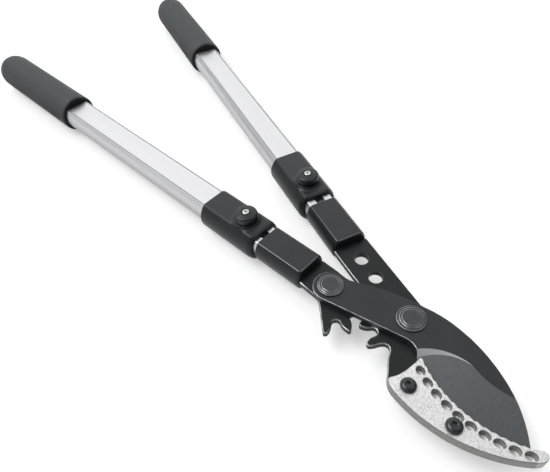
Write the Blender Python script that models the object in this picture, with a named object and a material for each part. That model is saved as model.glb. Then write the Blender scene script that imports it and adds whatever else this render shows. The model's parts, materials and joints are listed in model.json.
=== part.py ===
"""Telescopic geared bypass loppers, closed and pushed in.

Metres, +Z up. The origin is the middle of the main pivot bolt's head, on its flat top. +X points from
the grips to the jaw, and +Y to the right handle's side. The sizes below are millimetres, and to_metres
turns them into metres when a mesh is made. The blade is the fixed piece: the lever plate, with the left
handle, turns on the lever pivot, and the hook plate, with the right handle, turns on the main pivot.
"""

from math import acos, atan2, cos, degrees, hypot, radians, sin, sqrt, tan

import bmesh
import bpy

GAP = 0.3  # between touching pieces

# Layers, downwards from the bolt heads
HEAD_HEIGHT = 2.2
BLADE_THICKNESS = 5.2
PLATE_THICKNESS = 5.0
JAW_THICKNESS = 8.8
WASHER_THICKNESS = 1.5
NUT_HEIGHT = 8.0
NUT_ACROSS = 16.0
WASHER_RADIUS = 11.0
BLADE_TOP = -HEAD_HEIGHT - GAP
BLADE_BOTTOM = BLADE_TOP - BLADE_THICKNESS
PLATE_TOP = BLADE_BOTTOM - GAP
PLATE_BOTTOM = PLATE_TOP - PLATE_THICKNESS
JAW_BOTTOM = PLATE_TOP + GAP
JAW_TOP = JAW_BOTTOM + JAW_THICKNESS
HANDLE_HEIGHT = (PLATE_TOP + PLATE_BOTTOM) / 2

# Pivots and the gear between the two plates
MAIN_PIVOT = (0.0, 0.0)
LEVER_PIVOT = (-59.5, -27.1)
MAIN_FLANGE_RADIUS = 11.2
LEVER_FLANGE_RADIUS = 10.4
LEFT_ANGLE = 10.8
RIGHT_ANGLE = -10.4
SHANK_RADIUS = 5.0
BORE_RADIUS = SHANK_RADIUS + GAP
PITCH_RADIUS = hypot(*LEVER_PIVOT) / 2
TOOTH_PITCH = 360 / 13
PRESSURE_ANGLE = 16
BACKLASH = 0.8
PROFILE_SHIFT = 0.8
LEVER_ROOT = 27.5
LEVER_TIP = 39.4
HOOK_ROOT = 25.6
HOOK_TIP = 37.5
MESH_PHASE = 14.7  # from the line of centres to the lever's nearest tooth
# Rise above the root and degrees beyond the flank; then radius and degrees from a tooth's middle
ROOT_FILLET = ((0, 4.6), (0.5, 3.0), (0.9, 1.9), (1.6, 0.9), (2.5, 0.1))
LEVER_END_TOOTH = ((30.0, 7.6), (31.5, 7.4), (33.5, 6.7), (35.8, 5.5), (37.6, 4.2), (38.8, 2.8), (39.5, 1.0))
HOOK_END_TOOTH = ((33.5, 5.6), (31.0, 6.8), (28.7, 8.5), (27.0, 10.9), (26.2, 13.6), (25.8, 17.3))

# Cutting arc, which the blade's edge, the hook plate's edge, the jaw's lip and its pockets share
ARC_CENTRE = (62.4, 59.0)
LIP_RADIUS = 85.0
SAW_DEPTH = 0.9
EDGE_RADIUS = LIP_RADIUS + 2.2
HOOK_RADIUS = LIP_RADIUS - 1.5
POCKET_RADIUS = 89.85
POCKETS = 10
FIRST_POCKET = -108.2
LAST_POCKET = -55.4
POCKET_LENGTH = 7.5
POCKET_WIDTH = 5.7
POCKET_DEPTH = 6.2
REBATE_DEPTH = 1.8
SAW_TEETH = 15
SAW_START = -55.6
SAW_END = -114.0
SPINE_CENTRE = (40.1, 52.5)  # of the jaw's and the hook's outer arcs
JAW_OUTER_RADIUS = 103.5
HOOK_OUTER_RADIUS = 100.5
EDGE_THICKNESS = 0.5
GRIND_RADIUS = 54.2
WHEEL_CENTRE = (55.3, -34.9)
WHEEL_RADIUS = 40.9
WHEEL_TOUCH = -97.6
LOBE_RADIUS = 13.8  # of the blade round the lever pivot

# Outer tube, and what follows its section: a circle with a flat on the top and the bottom
TUBE_RADIUS = 15.9
TUBE_FLAT = 11.0
TUBE_WALL = 1.3
INNER_RADIUS = 13.9
INNER_FLAT = 9.0
INNER_WALL = 1.5
RAIL_INNER_EDGE = 3.9
CHANNEL_DEPTH = 3.4
GRIP_RADIUS = 19.0
COLLAR_RADIUS = 18.3
COLLAR_FLAT = 14.2
COLLAR_DROP = 1.2  # of the collar's section below the tube's centre line
FITTING_RADIUS = 16.0
FITTING_FLAT = 11.2

# Places along a handle, from the point on its centre line beside the main pivot; the jaw's end is +
LEFT_FOOT = (2.1, -11.02)
RIGHT_FOOT = (0.0, 0.0)
FITTING_FRONT = -87.5
FITTING_REAR = -136.0
TANG_PIN = -98.0
TANG_HOLES = (-69.2, -47.9)
TANG_END = -110.0
TANG_WIDTH = 19.0
INNER_FRONT = -112.5
INNER_REAR = -520.0
TUBE_PIN = -124.0
LEFT_COLLAR_FRONT = -140.4
RIGHT_COLLAR_FRONT = -143.6

# Setbacks from the collar's front
TUBE_SETBACK = 9.0
KNOB_SETBACK = 19.6
COLLAR_LENGTH = 63.0
GRIP_SETBACK = 292.0
DOME_SETBACK = 431.6
TUBE_END_SETBACK = 442.6
GRIP_END_SETBACK = 455.0

PIN_RADIUS = 2.5
TANG_HOLE_RADIUS = 5.7
KNOB_RADIUS = 10.0
BOSS_RADIUS = 12.0
BOSS_TOP = 15.0
CLAMP_SHANK_RADIUS = 2.0
CLAMP_NUT_ACROSS = 8.0
CLAMP_NUT_HEIGHT = 2.5
SCREW_HEAD_RADIUS = 5.6
SCREW_HEAD_HEIGHT = 3.2
SCREW_SHANK_RADIUS = 2.5
JAW_NUT_ACROSS = 7.4
JAW_NUT_HEIGHT = 3.0
SOCKET_ACROSS = 4.0
JAW_SCREWS = ((37.1, -40.7), (73.6, -37.6))

BLACK_STEEL = ("black_coated_steel", (0.055, 0.058, 0.058), 0.45, 0.6)
BLADE_STEEL = ("grey_coated_blade_steel", (0.07, 0.077, 0.078), 0.4, 0.6)
SILVER_CAST = ("sandblasted_silver_steel", (0.74, 0.74, 0.73), 0.5, 0.9)
ALUMINIUM = ("anodised_aluminium", (0.86, 0.86, 0.87), 0.3, 0.9)
BRIGHT_STEEL = ("bright_plated_steel", (0.75, 0.75, 0.74), 0.25, 1.0)
BLACK_PLASTIC = ("black_moulded_plastic", (0.035, 0.037, 0.04), 0.5, 0.0)
RUBBER = ("grey_green_rubber_grip", (0.085, 0.095, 0.095), 0.65, 0.0)


def material(name, colour, roughness, metallic):
    """The named material, made once."""
    found = bpy.data.materials.get(name)
    if found:
        return found
    made = bpy.data.materials.new(name)
    made.use_nodes = True
    shader = made.node_tree.nodes["Principled BSDF"]
    shader.inputs["Base Color"].default_value = (*colour, 1)
    shader.inputs["Roughness"].default_value = roughness
    shader.inputs["Metallic"].default_value = metallic
    made.diffuse_color = (*colour, 1)
    return made


def to_metres(point):
    return tuple(value / 1000 for value in point)


def empty(name, point, parent=None, turn=0.0):
    """An empty at a point in millimetres, which pieces are parented to."""
    made = bpy.data.objects.new(name, None)
    made.location = to_metres(point)
    made.rotation_euler.z = radians(turn)
    made.parent = parent
    bpy.context.collection.objects.link(made)
    return made


def loft(name, rings, look, parent, closed=False):
    """A solid through rings of equal length; a closed one joins its last ring to its first, like a tube."""
    count = len(rings[0])
    shape = bmesh.new()
    corners = [[shape.verts.new(to_metres(point)) for point in ring] for ring in rings]
    pairs = list(zip(corners, corners[1:]))
    if closed:
        pairs.append((corners[-1], corners[0]))
    else:
        shape.faces.new(corners[0])
        shape.faces.new(corners[-1])
    for near, far in pairs:
        for i in range(count):
            j = (i + 1) % count
            shape.faces.new((near[i], near[j], far[j], far[i]))
    bmesh.ops.recalc_face_normals(shape, faces=shape.faces)
    mesh = bpy.data.meshes.new(name)
    shape.to_mesh(mesh)
    shape.free()
    mesh.materials.append(material(*look))
    mesh.shade_smooth()
    mesh.set_sharp_from_angle(angle=radians(30))
    made = bpy.data.objects.new(name, mesh)
    made.parent = parent
    bpy.context.collection.objects.link(made)
    return made


def prism(name, outline, bottom, top, look, parent):
    """An outline in XY, extruded between two heights. It is placed in the world, whatever its parent."""
    rings = [[(x, y, height) for x, y in outline] for height in (bottom, top)]
    made = loft(name, rings, look, parent)
    if parent:
        made.location = -parent.location
    return made


def along(name, section, start, end, look, parent):
    """A section in YZ, extruded along a handle."""
    rings = [[(place, y, z) for y, z in section] for place in (start, end)]
    return loft(name, rings, look, parent)


def turned(name, profile, look, parent, bored=False, steps=24):
    """A solid turned about Z through (radius, height) points; a bored profile runs all the way round."""
    rings = [lifted(circle(radius, steps), height) for radius, height in profile]
    return loft(name, rings, look, parent, closed=bored)


def combine(made, other, operation="DIFFERENCE"):
    """Cuts a helper from a piece, or joins it on, and keeps the helper out of the render."""
    modifier = made.modifiers.new(other.name, "BOOLEAN")
    modifier.operation = operation
    modifier.object = other
    modifier.solver = "EXACT"
    other.hide_render = True
    other.display_type = "WIRE"


def at(centre, radius, angle):
    return (centre[0] + radius * cos(radians(angle)), centre[1] + radius * sin(radians(angle)))


def arc(centre, radius, start, end, steps):
    return [at(centre, radius, start + (end - start) * i / steps) for i in range(steps + 1)]


def flatted_section(radius, top, bottom=None, drop=0.0, steps=10):
    """A circle in YZ with a flat on its top and its bottom, counterclockwise from the lower right."""
    upper = degrees(atan2(top, sqrt(radius**2 - top**2)))
    low = top if bottom is None else bottom
    lower = degrees(atan2(low, sqrt(radius**2 - low**2)))
    right = arc((0, -drop), radius, -lower, upper, steps)
    left = arc((0, -drop), radius, 180 - upper, 180 + lower, steps)
    return right + left


def hexagon(across_flats, steps=18):
    """A hexagon in XY with as many points as a circle of the same steps."""
    points = []
    for i in range(steps):
        angle = 360 * i / steps
        within = (angle + 30) % 60 - 30
        points.append(at((0, 0), across_flats / 2 / cos(radians(within)), angle))
    return points


def circle(radius, steps=18):
    return arc((0, 0), radius, 0, 360, steps)[:-1]


def lifted(outline, height):
    return [(x, y, height) for x, y in outline]


def handle_point(angle, foot, place, side):
    """The world XY of a place along a handle and to its side."""
    x, y = foot
    turn = radians(angle)
    return (x + place * cos(turn) - side * sin(turn), y + place * sin(turn) + side * cos(turn))


def inset(outline, width):
    """A counterclockwise outline moved inwards by a width."""
    moved = []
    for i, (x, y) in enumerate(outline):
        before = outline[i - 1]
        after = outline[(i + 1) % len(outline)]
        first = hypot(x - before[0], y - before[1])
        second = hypot(after[0] - x, after[1] - y)
        ax, ay = (before[1] - y) / first, (x - before[0]) / first
        bx, by = (y - after[1]) / second, (after[0] - x) / second
        share = width / (1 + ax * bx + ay * by)
        moved.append((x + share * (ax + bx), y + share * (ay + by)))
    return moved


def plate(name, outline, bottom, top, look, parent, chamfer=0.4):
    """A flat piece in the world's XY, with its upper and lower edges broken."""
    small = inset(outline, chamfer)
    rings = [
        lifted(small, bottom),
        lifted(outline, bottom + chamfer),
        lifted(outline, top - chamfer),
        lifted(small, top),
    ]
    made = loft(name, rings, look, parent)
    if parent:
        made.location = -parent.location
    return made


def drill(made, name, centre, radius, bottom, top, chamfer=0.5):
    """A hole through a plate, with both its edges countersunk a little."""
    reach = 2.0
    profile = [
        (radius + chamfer + reach, bottom - reach),
        (radius, bottom + chamfer),
        (radius, top - chamfer),
        (radius + chamfer + reach, top + reach),
    ]
    cutter = turned(name, profile, BLACK_STEEL, made.parent, steps=20)
    cutter.location = made.location
    cutter.location.x += centre[0] / 1000
    cutter.location.y += centre[1] / 1000
    combine(made, cutter)


def involute(angle):
    return tan(angle) - angle


def half_tooth(radius, shift):
    """Half of a tooth's width at a radius, in degrees."""
    base = PITCH_RADIUS * cos(radians(PRESSURE_ANGLE))
    here = involute(acos(base / radius)) if radius > base else 0
    pressure = radians(PRESSURE_ANGLE)
    at_pitch = (shift * tan(pressure) - BACKLASH / 4) / PITCH_RADIUS
    return TOOTH_PITCH / 4 + degrees(at_pitch + involute(pressure) - here)


def flank(gear, angle, side):
    """One side of a tooth from its root to its rounded tip; side is -1 for the clockwise one."""
    centre, shift, root, tip = gear
    foot = half_tooth(root, shift)
    points = [(root + rise, foot + more) for rise, more in ROOT_FILLET]
    for share in (0.35, 0.5, 0.65, 0.78):
        radius = root + share * (tip - root)
        points.append((radius, half_tooth(radius, shift)))
    crown = half_tooth(tip - 1.4, shift)
    points += [(tip - 1.4, crown * 0.96), (tip - 0.5, crown * 0.74), (tip, crown * 0.34)]
    return [at(centre, radius, angle + side * spread) for radius, spread in points]


def tooth(gear, angle):
    """A whole tooth, counterclockwise."""
    return flank(gear, angle, -1) + flank(gear, angle, 1)[::-1]


def line_of_centres():
    return degrees(atan2(-LEVER_PIVOT[1], -LEVER_PIVOT[0]))


def lever_plate(axis):
    """The left handle's steel plate: three teeth, and a tang that the end fitting holds."""
    angles = [line_of_centres() - MESH_PHASE - k * TOOTH_PITCH for k in (2, 1, 0)]
    outline = [
        handle_point(LEFT_ANGLE, LEFT_FOOT, TANG_END, -TANG_WIDTH / 2),
        handle_point(LEFT_ANGLE, LEFT_FOOT, FITTING_FRONT + GAP, -TANG_WIDTH / 2),
        handle_point(LEFT_ANGLE, LEFT_FOOT, FITTING_FRONT + GAP, -14.5),
        (-60.5, -39.4),
        (-57.0, -40.6),
    ]
    gear = (LEVER_PIVOT, PROFILE_SHIFT, LEVER_ROOT, LEVER_TIP)
    outline += flank(gear, angles[0], -1)[-2:]
    outline += [at(LEVER_PIVOT, radius, angles[0] + more) for radius, more in LEVER_END_TOOTH[::-1]]
    outline += flank(gear, angles[0], 1)[3::-1]
    outline += tooth(gear, angles[1])
    outline += tooth(gear, angles[2])
    outline += arc(LEVER_PIVOT, 17.5, 46, 90 + LEFT_ANGLE, 6)
    outline += [
        handle_point(LEFT_ANGLE, LEFT_FOOT, -72, 14.05),
        handle_point(LEFT_ANGLE, LEFT_FOOT, FITTING_FRONT + GAP, 14.6),
        handle_point(LEFT_ANGLE, LEFT_FOOT, FITTING_FRONT + GAP, TANG_WIDTH / 2),
        handle_point(LEFT_ANGLE, LEFT_FOOT, TANG_END, TANG_WIDTH / 2),
    ]
    made = plate("lever_plate", outline, PLATE_BOTTOM, PLATE_TOP, BLACK_STEEL, axis)
    drill(made, "lever_bore", LEVER_PIVOT, BORE_RADIUS, PLATE_BOTTOM, PLATE_TOP)
    pin = handle_point(LEFT_ANGLE, LEFT_FOOT, TANG_PIN, 0)
    drill(made, "lever_tang_hole", pin, PIN_RADIUS + GAP, PLATE_BOTTOM, PLATE_TOP)
    return made


def hook_plate(axis):
    """The right handle's steel plate: a tang with two holes, two teeth and the hook behind the jaw."""
    opposite = line_of_centres() + 180 + MESH_PHASE - TOOTH_PITCH / 2
    outline = [
        handle_point(RIGHT_ANGLE, RIGHT_FOOT, TANG_END, -TANG_WIDTH / 2),
        handle_point(RIGHT_ANGLE, RIGHT_FOOT, FITTING_FRONT + GAP, -TANG_WIDTH / 2),
        handle_point(RIGHT_ANGLE, RIGHT_FOOT, FITTING_FRONT + GAP, -15.4),
        handle_point(RIGHT_ANGLE, RIGHT_FOOT, -58, -15.0),
        handle_point(RIGHT_ANGLE, RIGHT_FOOT, -38, -14.0),
    ]
    gear = (MAIN_PIVOT, -PROFILE_SHIFT, HOOK_ROOT, HOOK_TIP)
    outline += flank(gear, opposite, -1)[-2:]
    outline += flank(gear, opposite, 1)[::-1]
    outline += tooth(gear, opposite + TOOTH_PITCH)
    last = opposite + 2 * TOOTH_PITCH
    outline += flank(gear, last, -1) + flank(gear, last, 1)[:-4:-1]
    outline += [at(MAIN_PIVOT, radius, last + more) for radius, more in HOOK_END_TOOTH]
    outline += [(6.2, -26.3), (8.2, -28.4), (10.9, -32.5), (21.8, -44.0), (24.3, -46.2)]
    outline += arc(SPINE_CENTRE, HOOK_OUTER_RADIUS, -97.2, -45, 12)
    outline += [(112.4, -16.0), (111.0, -13.4)]
    outline += arc(ARC_CENTRE, HOOK_RADIUS, -57.5, -117, 14)
    outline += [(20.6, -9.6)]
    outline += arc(MAIN_PIVOT, 16.3, -15, 90 + RIGHT_ANGLE, 8)
    outline += [
        handle_point(RIGHT_ANGLE, RIGHT_FOOT, FITTING_FRONT + GAP, 15.4),
        handle_point(RIGHT_ANGLE, RIGHT_FOOT, FITTING_FRONT + GAP, TANG_WIDTH / 2),
        handle_point(RIGHT_ANGLE, RIGHT_FOOT, TANG_END, TANG_WIDTH / 2),
    ]
    made = plate("hook_plate", outline, PLATE_BOTTOM, PLATE_TOP, BLACK_STEEL, axis)
    drill(made, "hook_bore", MAIN_PIVOT, BORE_RADIUS, PLATE_BOTTOM, PLATE_TOP)
    pin = handle_point(RIGHT_ANGLE, RIGHT_FOOT, TANG_PIN, 0)
    drill(made, "hook_tang_hole", pin, PIN_RADIUS + GAP, PLATE_BOTTOM, PLATE_TOP)
    for number, place in enumerate(TANG_HOLES, 1):
        centre = handle_point(RIGHT_ANGLE, RIGHT_FOOT, place, 0.4)
        drill(made, f"tang_hole_{number}", centre, TANG_HOLE_RADIUS, PLATE_BOTTOM, PLATE_TOP)
    for number, centre in enumerate(JAW_SCREWS, 1):
        hole = SCREW_SHANK_RADIUS + GAP
        drill(made, f"hook_screw_hole_{number}", centre, hole, PLATE_BOTTOM, PLATE_TOP)
    return made


def grind():
    """What grinding takes off: all above a cone that meets the blade's top at the grind radius."""
    slope = (BLADE_THICKNESS - EDGE_THICKNESS) / (EDGE_RADIUS - GRIND_RADIUS)
    run = 20.0
    section = [
        (GRIND_RADIUS - run, BLADE_TOP + slope * run),
        (EDGE_RADIUS + run, BLADE_TOP - slope * (EDGE_RADIUS + run - GRIND_RADIUS)),
        (EDGE_RADIUS + run, BLADE_TOP + run),
        (GRIND_RADIUS - run, BLADE_TOP + run),
    ]
    steps = 24
    rings = []
    for i in range(steps + 1):
        angle = -30 - 110 * i / steps
        rings.append([(*at(ARC_CENTRE, radius, angle), height) for radius, height in section])
    return loft("grind_cone", rings, BLADE_STEEL, None)


def blade_outline():
    lower = [(8.2, -14.7), (11.0, -13.8), (14.0, -13.4), (17.6, -13.8), (21.4, -15.3)]
    edge = arc(ARC_CENTRE, EDGE_RADIUS, -114, -54.3, 20)
    spine = arc((44.2, -78.0), 96.0, 43.9, 63, 6) + arc((31.8, -98.9), 120.3, 65.5, 88, 8)
    spine += arc((30.0, -64.5), 85.7, 92, 111, 5)
    upper = [(-9.0, 12.6), (-17.0, 9.4), (-30.3, 3.5), (-42.0, -3.9), (-50.0, -9.0), (-53.0, -11.0)]
    return lower + edge + spine + upper + arc(LEVER_PIVOT, LOBE_RADIUS, 88, 291.9, 12)


def blade_plate():
    """The blade: a lobe for the lever pivot, a hub for the main pivot, and a hollow-ground edge."""
    made = plate("blade_plate", blade_outline(), BLADE_BOTTOM, BLADE_TOP, BLADE_STEEL, None)
    cone = grind()
    depth = 9.0
    rise = 2.0
    profile = [(WHEEL_RADIUS - depth, BLADE_TOP - depth), (WHEEL_RADIUS + rise, BLADE_TOP + rise)]
    wheel = turned("grind_wheel", profile, BLADE_STEEL, None, steps=96)
    wheel.location = to_metres((*WHEEL_CENTRE, 0))
    # Forward of the wheel's touch the grind runs out over the spine
    reach = [ARC_CENTRE] + arc(ARC_CENTRE, 130, WHEEL_TOUCH, -30, 3)
    front = prism("grind_front", reach, BLADE_TOP - depth, BLADE_TOP + 2 * rise, BLADE_STEEL, None)
    combine(wheel, front, "UNION")
    combine(cone, wheel, "INTERSECT")
    combine(made, cone)
    for name, centre in (("blade_main_bore", MAIN_PIVOT), ("blade_lever_bore", LEVER_PIVOT)):
        drill(made, name, centre, BORE_RADIUS, BLADE_BOTTOM, BLADE_TOP)
    return made


def jaw_outline():
    """The jaw from above: an outer arc, a beak at the tip and a saw-toothed lip."""
    outer = arc(SPINE_CENTRE, JAW_OUTER_RADIUS, -94.5, -40.6, 18)
    beak = [(120.4, -12.0), (120.9, -9.4), (119.8, -6.8), (118.0, -5.6), (116.0, -6.2), (113.6, -8.4)]
    pitch = (SAW_END - SAW_START) / SAW_TEETH
    lip = []
    for k in range(SAW_TEETH):
        lip.append(at(ARC_CENTRE, LIP_RADIUS + SAW_DEPTH / 2, SAW_START + k * pitch))
        lip.append(at(ARC_CENTRE, LIP_RADIUS - SAW_DEPTH / 2, SAW_START + (k + 0.78) * pitch))
    heel = [(27.0, -19.3), (27.7, -25.0), (27.9, -34.0), (27.3, -40.0), (26.2, -43.2), (25.0, -45.8)]
    heel += [(25.2, -47.4), (26.4, -48.6), (28.6, -49.8)]
    return outer + beak + lip + heel


def serrated_jaw(axis):
    """The silver jaw: blind oval pockets along the lip, and a rebate below that the blade's edge enters."""
    made = plate("serrated_jaw", jaw_outline(), JAW_BOTTOM, JAW_TOP, SILVER_CAST, axis, chamfer=0.3)
    rebate = arc(ARC_CENTRE, EDGE_RADIUS + 0.6, -124, -51, 20) + arc(ARC_CENTRE, 76, -51, -124, 20)
    combine(made, prism("jaw_rebate", rebate, JAW_BOTTOM - 2, JAW_BOTTOM + REBATE_DEPTH, SILVER_CAST, axis))
    for k in range(POCKETS):
        angle = FIRST_POCKET + (LAST_POCKET - FIRST_POCKET) * k / (POCKETS - 1)
        middle = at(ARC_CENTRE, POCKET_RADIUS, angle)
        outline = []
        for x, y in circle(1):
            along_arc = POCKET_LENGTH / 2 * x
            outwards = POCKET_WIDTH / 2 * y
            turn = radians(angle + 90)
            outline.append(
                (
                    middle[0] + along_arc * cos(turn) - outwards * sin(turn),
                    middle[1] + along_arc * sin(turn) + outwards * cos(turn),
                )
            )
        pocket = prism(f"jaw_pocket_{k}", outline, JAW_TOP - POCKET_DEPTH, JAW_TOP + 2, SILVER_CAST, axis)
        combine(made, pocket)
    for number, centre in enumerate(JAW_SCREWS, 1):
        drill(made, f"jaw_screw_hole_{number}", centre, SCREW_SHANK_RADIUS + GAP, JAW_BOTTOM, JAW_TOP)
    return made


def nut(name, across, bottom, height, bore, look, parent, centre=(0, 0)):
    """A hexagonal nut with chamfered corners."""
    chamfer = 0.12 * across / 2
    limit = across / 2 * 1.03
    corners = hexagon(across)
    clipped = []
    for x, y in corners:
        share = min(1, limit / hypot(x, y))
        clipped.append((x * share, y * share))
    hole = circle(bore)
    rings = [
        lifted(clipped, bottom),
        lifted(corners, bottom + chamfer),
        lifted(corners, bottom + height - chamfer),
        lifted(clipped, bottom + height),
        lifted(hole, bottom + height),
        lifted(hole, bottom),
    ]
    made = loft(name, rings, look, parent, closed=True)
    made.location = to_metres((*centre, 0))
    return made


def pivot(name, centre, flange):
    """A bolt with a stepped round head, and the washer and nut that hold it."""
    washer_top = PLATE_BOTTOM - GAP
    nut_top = washer_top - WASHER_THICKNESS - GAP
    end = nut_top - NUT_HEIGHT - 1.0
    profile = [
        (SHANK_RADIUS - 0.6, end),
        (SHANK_RADIUS, end + 0.6),
        (SHANK_RADIUS, -HEAD_HEIGHT),
        (flange, -HEAD_HEIGHT),
        (flange, -1.4),
        (flange - 0.5, -1.0),
        (9.1, -0.95),
        (8.9, -0.5),
        (8.5, -0.3),
        (7.2, -0.3),
        (6.9, 0),
    ]
    bolt = turned(f"{name}_bolt", profile, BLACK_STEEL, None, steps=28)
    bolt.location = to_metres((*centre, 0))
    ring = [
        (BORE_RADIUS, washer_top - WASHER_THICKNESS),
        (WASHER_RADIUS, washer_top - WASHER_THICKNESS),
        (WASHER_RADIUS, washer_top),
        (BORE_RADIUS, washer_top),
    ]
    washer = turned(f"{name}_washer", ring, BRIGHT_STEEL, None, bored=True)
    washer.location = bolt.location
    size = (NUT_ACROSS, nut_top - NUT_HEIGHT, NUT_HEIGHT, BORE_RADIUS)
    nut(f"{name}_nut", *size, BRIGHT_STEEL, None, centre)


def jaw_fastener(number, centre, axis):
    """A button-head screw through the jaw and the hook plate, and its nut."""
    under = JAW_TOP + GAP
    nut_top = PLATE_BOTTOM - GAP
    top = under + SCREW_HEAD_HEIGHT
    profile = [
        (SCREW_SHANK_RADIUS - 0.4, nut_top - JAW_NUT_HEIGHT - 0.8),
        (SCREW_SHANK_RADIUS, nut_top - JAW_NUT_HEIGHT - 0.4),
        (SCREW_SHANK_RADIUS, under),
        (SCREW_HEAD_RADIUS, under),
        (SCREW_HEAD_RADIUS, under + 0.9),
        (SCREW_HEAD_RADIUS - 0.3, under + 1.9),
        (SCREW_HEAD_RADIUS - 1.1, under + 2.7),
        (SCREW_HEAD_RADIUS - 2.4, top),
    ]
    rings = [lifted(circle(radius), height) for radius, height in profile]
    socket = hexagon(SOCKET_ACROSS)
    rings += [lifted(socket, top), lifted(socket, top - 2)]
    screw = loft(f"jaw_screw_{number}", rings, BLACK_STEEL, axis)
    screw.location = to_metres((*centre, 0))
    bore = SCREW_SHANK_RADIUS + GAP
    size = (JAW_NUT_ACROSS, nut_top - JAW_NUT_HEIGHT, JAW_NUT_HEIGHT, bore)
    nut(f"jaw_nut_{number}", *size, BRIGHT_STEEL, axis, centre)


def upright(name, radius, bottom, top, look, parent, place=0.0, steps=16):
    """A round pin or cutter that stands across a handle."""
    made = turned(name, [(radius, bottom), (radius, top)], look, parent, steps=steps)
    made.location = to_metres((place, 0, 0))
    return made


def fitting_ring(place, inwards):
    """The end fitting's section at a place, drawn in by a rounding."""
    section = flatted_section(FITTING_RADIUS - inwards, FITTING_FLAT - 0.8 * inwards)
    return [(place, y, z) for y, z in section]


def end_fitting(side, frame):
    """The black end piece: a slot in front for the tang, and a pocket behind for the inner tube."""
    rings = [fitting_ring(FITTING_REAR, 0.6), fitting_ring(FITTING_REAR + 0.6, 0)]
    rounding = 3.0
    for turn in range(0, 91, 30):
        place = FITTING_FRONT - rounding + rounding * sin(radians(turn))
        rings.append(fitting_ring(place, 2.2 * (1 - cos(radians(turn)))))
    made = loft(f"{side}_end_fitting", rings, BLACK_PLASTIC, frame)
    hollow = flatted_section(INNER_RADIUS + GAP, INNER_FLAT + GAP)
    pocket = (f"{side}_fitting_pocket", hollow, FITTING_REAR - 5, INNER_FRONT + GAP)
    combine(made, along(*pocket, BLACK_PLASTIC, frame))
    half_width = TANG_WIDTH / 2 + GAP
    half_height = PLATE_THICKNESS / 2 + GAP
    slot = [
        (-half_width, -half_height),
        (half_width, -half_height),
        (half_width, half_height),
        (-half_width, half_height),
    ]
    combine(made, along(f"{side}_tang_slot", slot, TANG_END - GAP, FITTING_FRONT + 5, BLACK_PLASTIC, frame))
    below = -FITTING_FLAT - 2
    hole = PIN_RADIUS + GAP
    combine(made, upright(f"{side}_tang_pin_hole", hole, below, 6 + GAP, BLACK_PLASTIC, frame, TANG_PIN))
    combine(made, upright(f"{side}_tube_pin_hole", hole, below, 0, BLACK_PLASTIC, frame, TUBE_PIN))
    upright(f"{side}_tang_pin", PIN_RADIUS, -FITTING_FLAT + 0.2, 6, BRIGHT_STEEL, frame, TANG_PIN)
    upright(f"{side}_tube_pin", PIN_RADIUS, -FITTING_FLAT + 0.2, -6, BRIGHT_STEEL, frame, TUBE_PIN)


def inner_tube(side, frame):
    """The tube that the handle slides on, with a channel on top for the clamp screw, and its end guide."""
    floor = INNER_FLAT - CHANNEL_DEPTH
    section = flatted_section(INNER_RADIUS, INNER_FLAT)
    made = along(f"{side}_inner_tube", section, INNER_REAR, INNER_FRONT, ALUMINIUM, frame)
    channel = [
        (-RAIL_INNER_EDGE, floor),
        (RAIL_INNER_EDGE, floor),
        (RAIL_INNER_EDGE, INNER_RADIUS),
        (-RAIL_INNER_EDGE, INNER_RADIUS),
    ]
    combine(made, along(f"{side}_channel", channel, INNER_REAR - 5, INNER_FRONT + 5, ALUMINIUM, frame))
    bore_radius = INNER_RADIUS - INNER_WALL
    bore_top = floor - INNER_WALL
    bore_bottom = INNER_FLAT - INNER_WALL
    bore = flatted_section(bore_radius, bore_top, bore_bottom)
    combine(made, along(f"{side}_inner_bore", bore, INNER_REAR - 5, INNER_FRONT + 5, ALUMINIUM, frame))
    hole = PIN_RADIUS + GAP
    combine(made, upright(f"{side}_tube_hole", hole, -INNER_RADIUS, 0, ALUMINIUM, frame, TUBE_PIN))

    wide = flatted_section(INNER_RADIUS + GAP, INNER_FLAT + GAP)
    narrow = flatted_section(bore_radius - GAP, bore_top - GAP, bore_bottom - GAP)
    ring_front = INNER_REAR - GAP
    rings = [
        [(place, y, z) for y, z in ring]
        for place, ring in (
            (ring_front - 6, wide),
            (ring_front, wide),
            (ring_front, narrow),
            (INNER_REAR + 14, narrow),
        )
    ]
    loft(f"{side}_inner_guide", rings, BLACK_PLASTIC, frame)


def grooved_section():
    """The outer tube's outline, with a fine groove along each edge of its flats."""
    edge = sqrt(TUBE_RADIUS**2 - TUBE_FLAT**2)
    outline = []
    for y, z in flatted_section(TUBE_RADIUS, TUBE_FLAT):
        sideways = 1 if y > 0 else -1
        upwards = 1 if z > 0 else -1
        corner = abs(abs(z) - TUBE_FLAT) < 0.01
        groove = [
            (sideways * (edge - 0.3), upwards * TUBE_FLAT),
            (sideways * (edge - 0.3), upwards * (TUBE_FLAT - 0.5)),
            (sideways * (edge - 1.0), upwards * (TUBE_FLAT - 0.5)),
            (sideways * (edge - 1.0), upwards * TUBE_FLAT),
        ]
        if corner and sideways == upwards:
            outline += [(y, z)] + groove
        elif corner:
            outline += groove[::-1] + [(y, z)]
        else:
            outline.append((y, z))
    return outline


def outer_tube(side, slide, front):
    made = along(
        f"{side}_outer_tube",
        grooved_section(),
        front - TUBE_END_SETBACK,
        front - TUBE_SETBACK,
        ALUMINIUM,
        slide,
    )
    bore = flatted_section(TUBE_RADIUS - TUBE_WALL, TUBE_FLAT - TUBE_WALL)
    reach = (front - TUBE_END_SETBACK - 5, front - TUBE_SETBACK + 5)
    combine(made, along(f"{side}_outer_bore", bore, *reach, ALUMINIUM, slide))
    hole = CLAMP_SHANK_RADIUS + 2 * GAP
    knob = front - KNOB_SETBACK
    combine(made, upright(f"{side}_tube_screw_hole", hole, 0, TUBE_RADIUS, ALUMINIUM, slide, knob))


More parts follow.
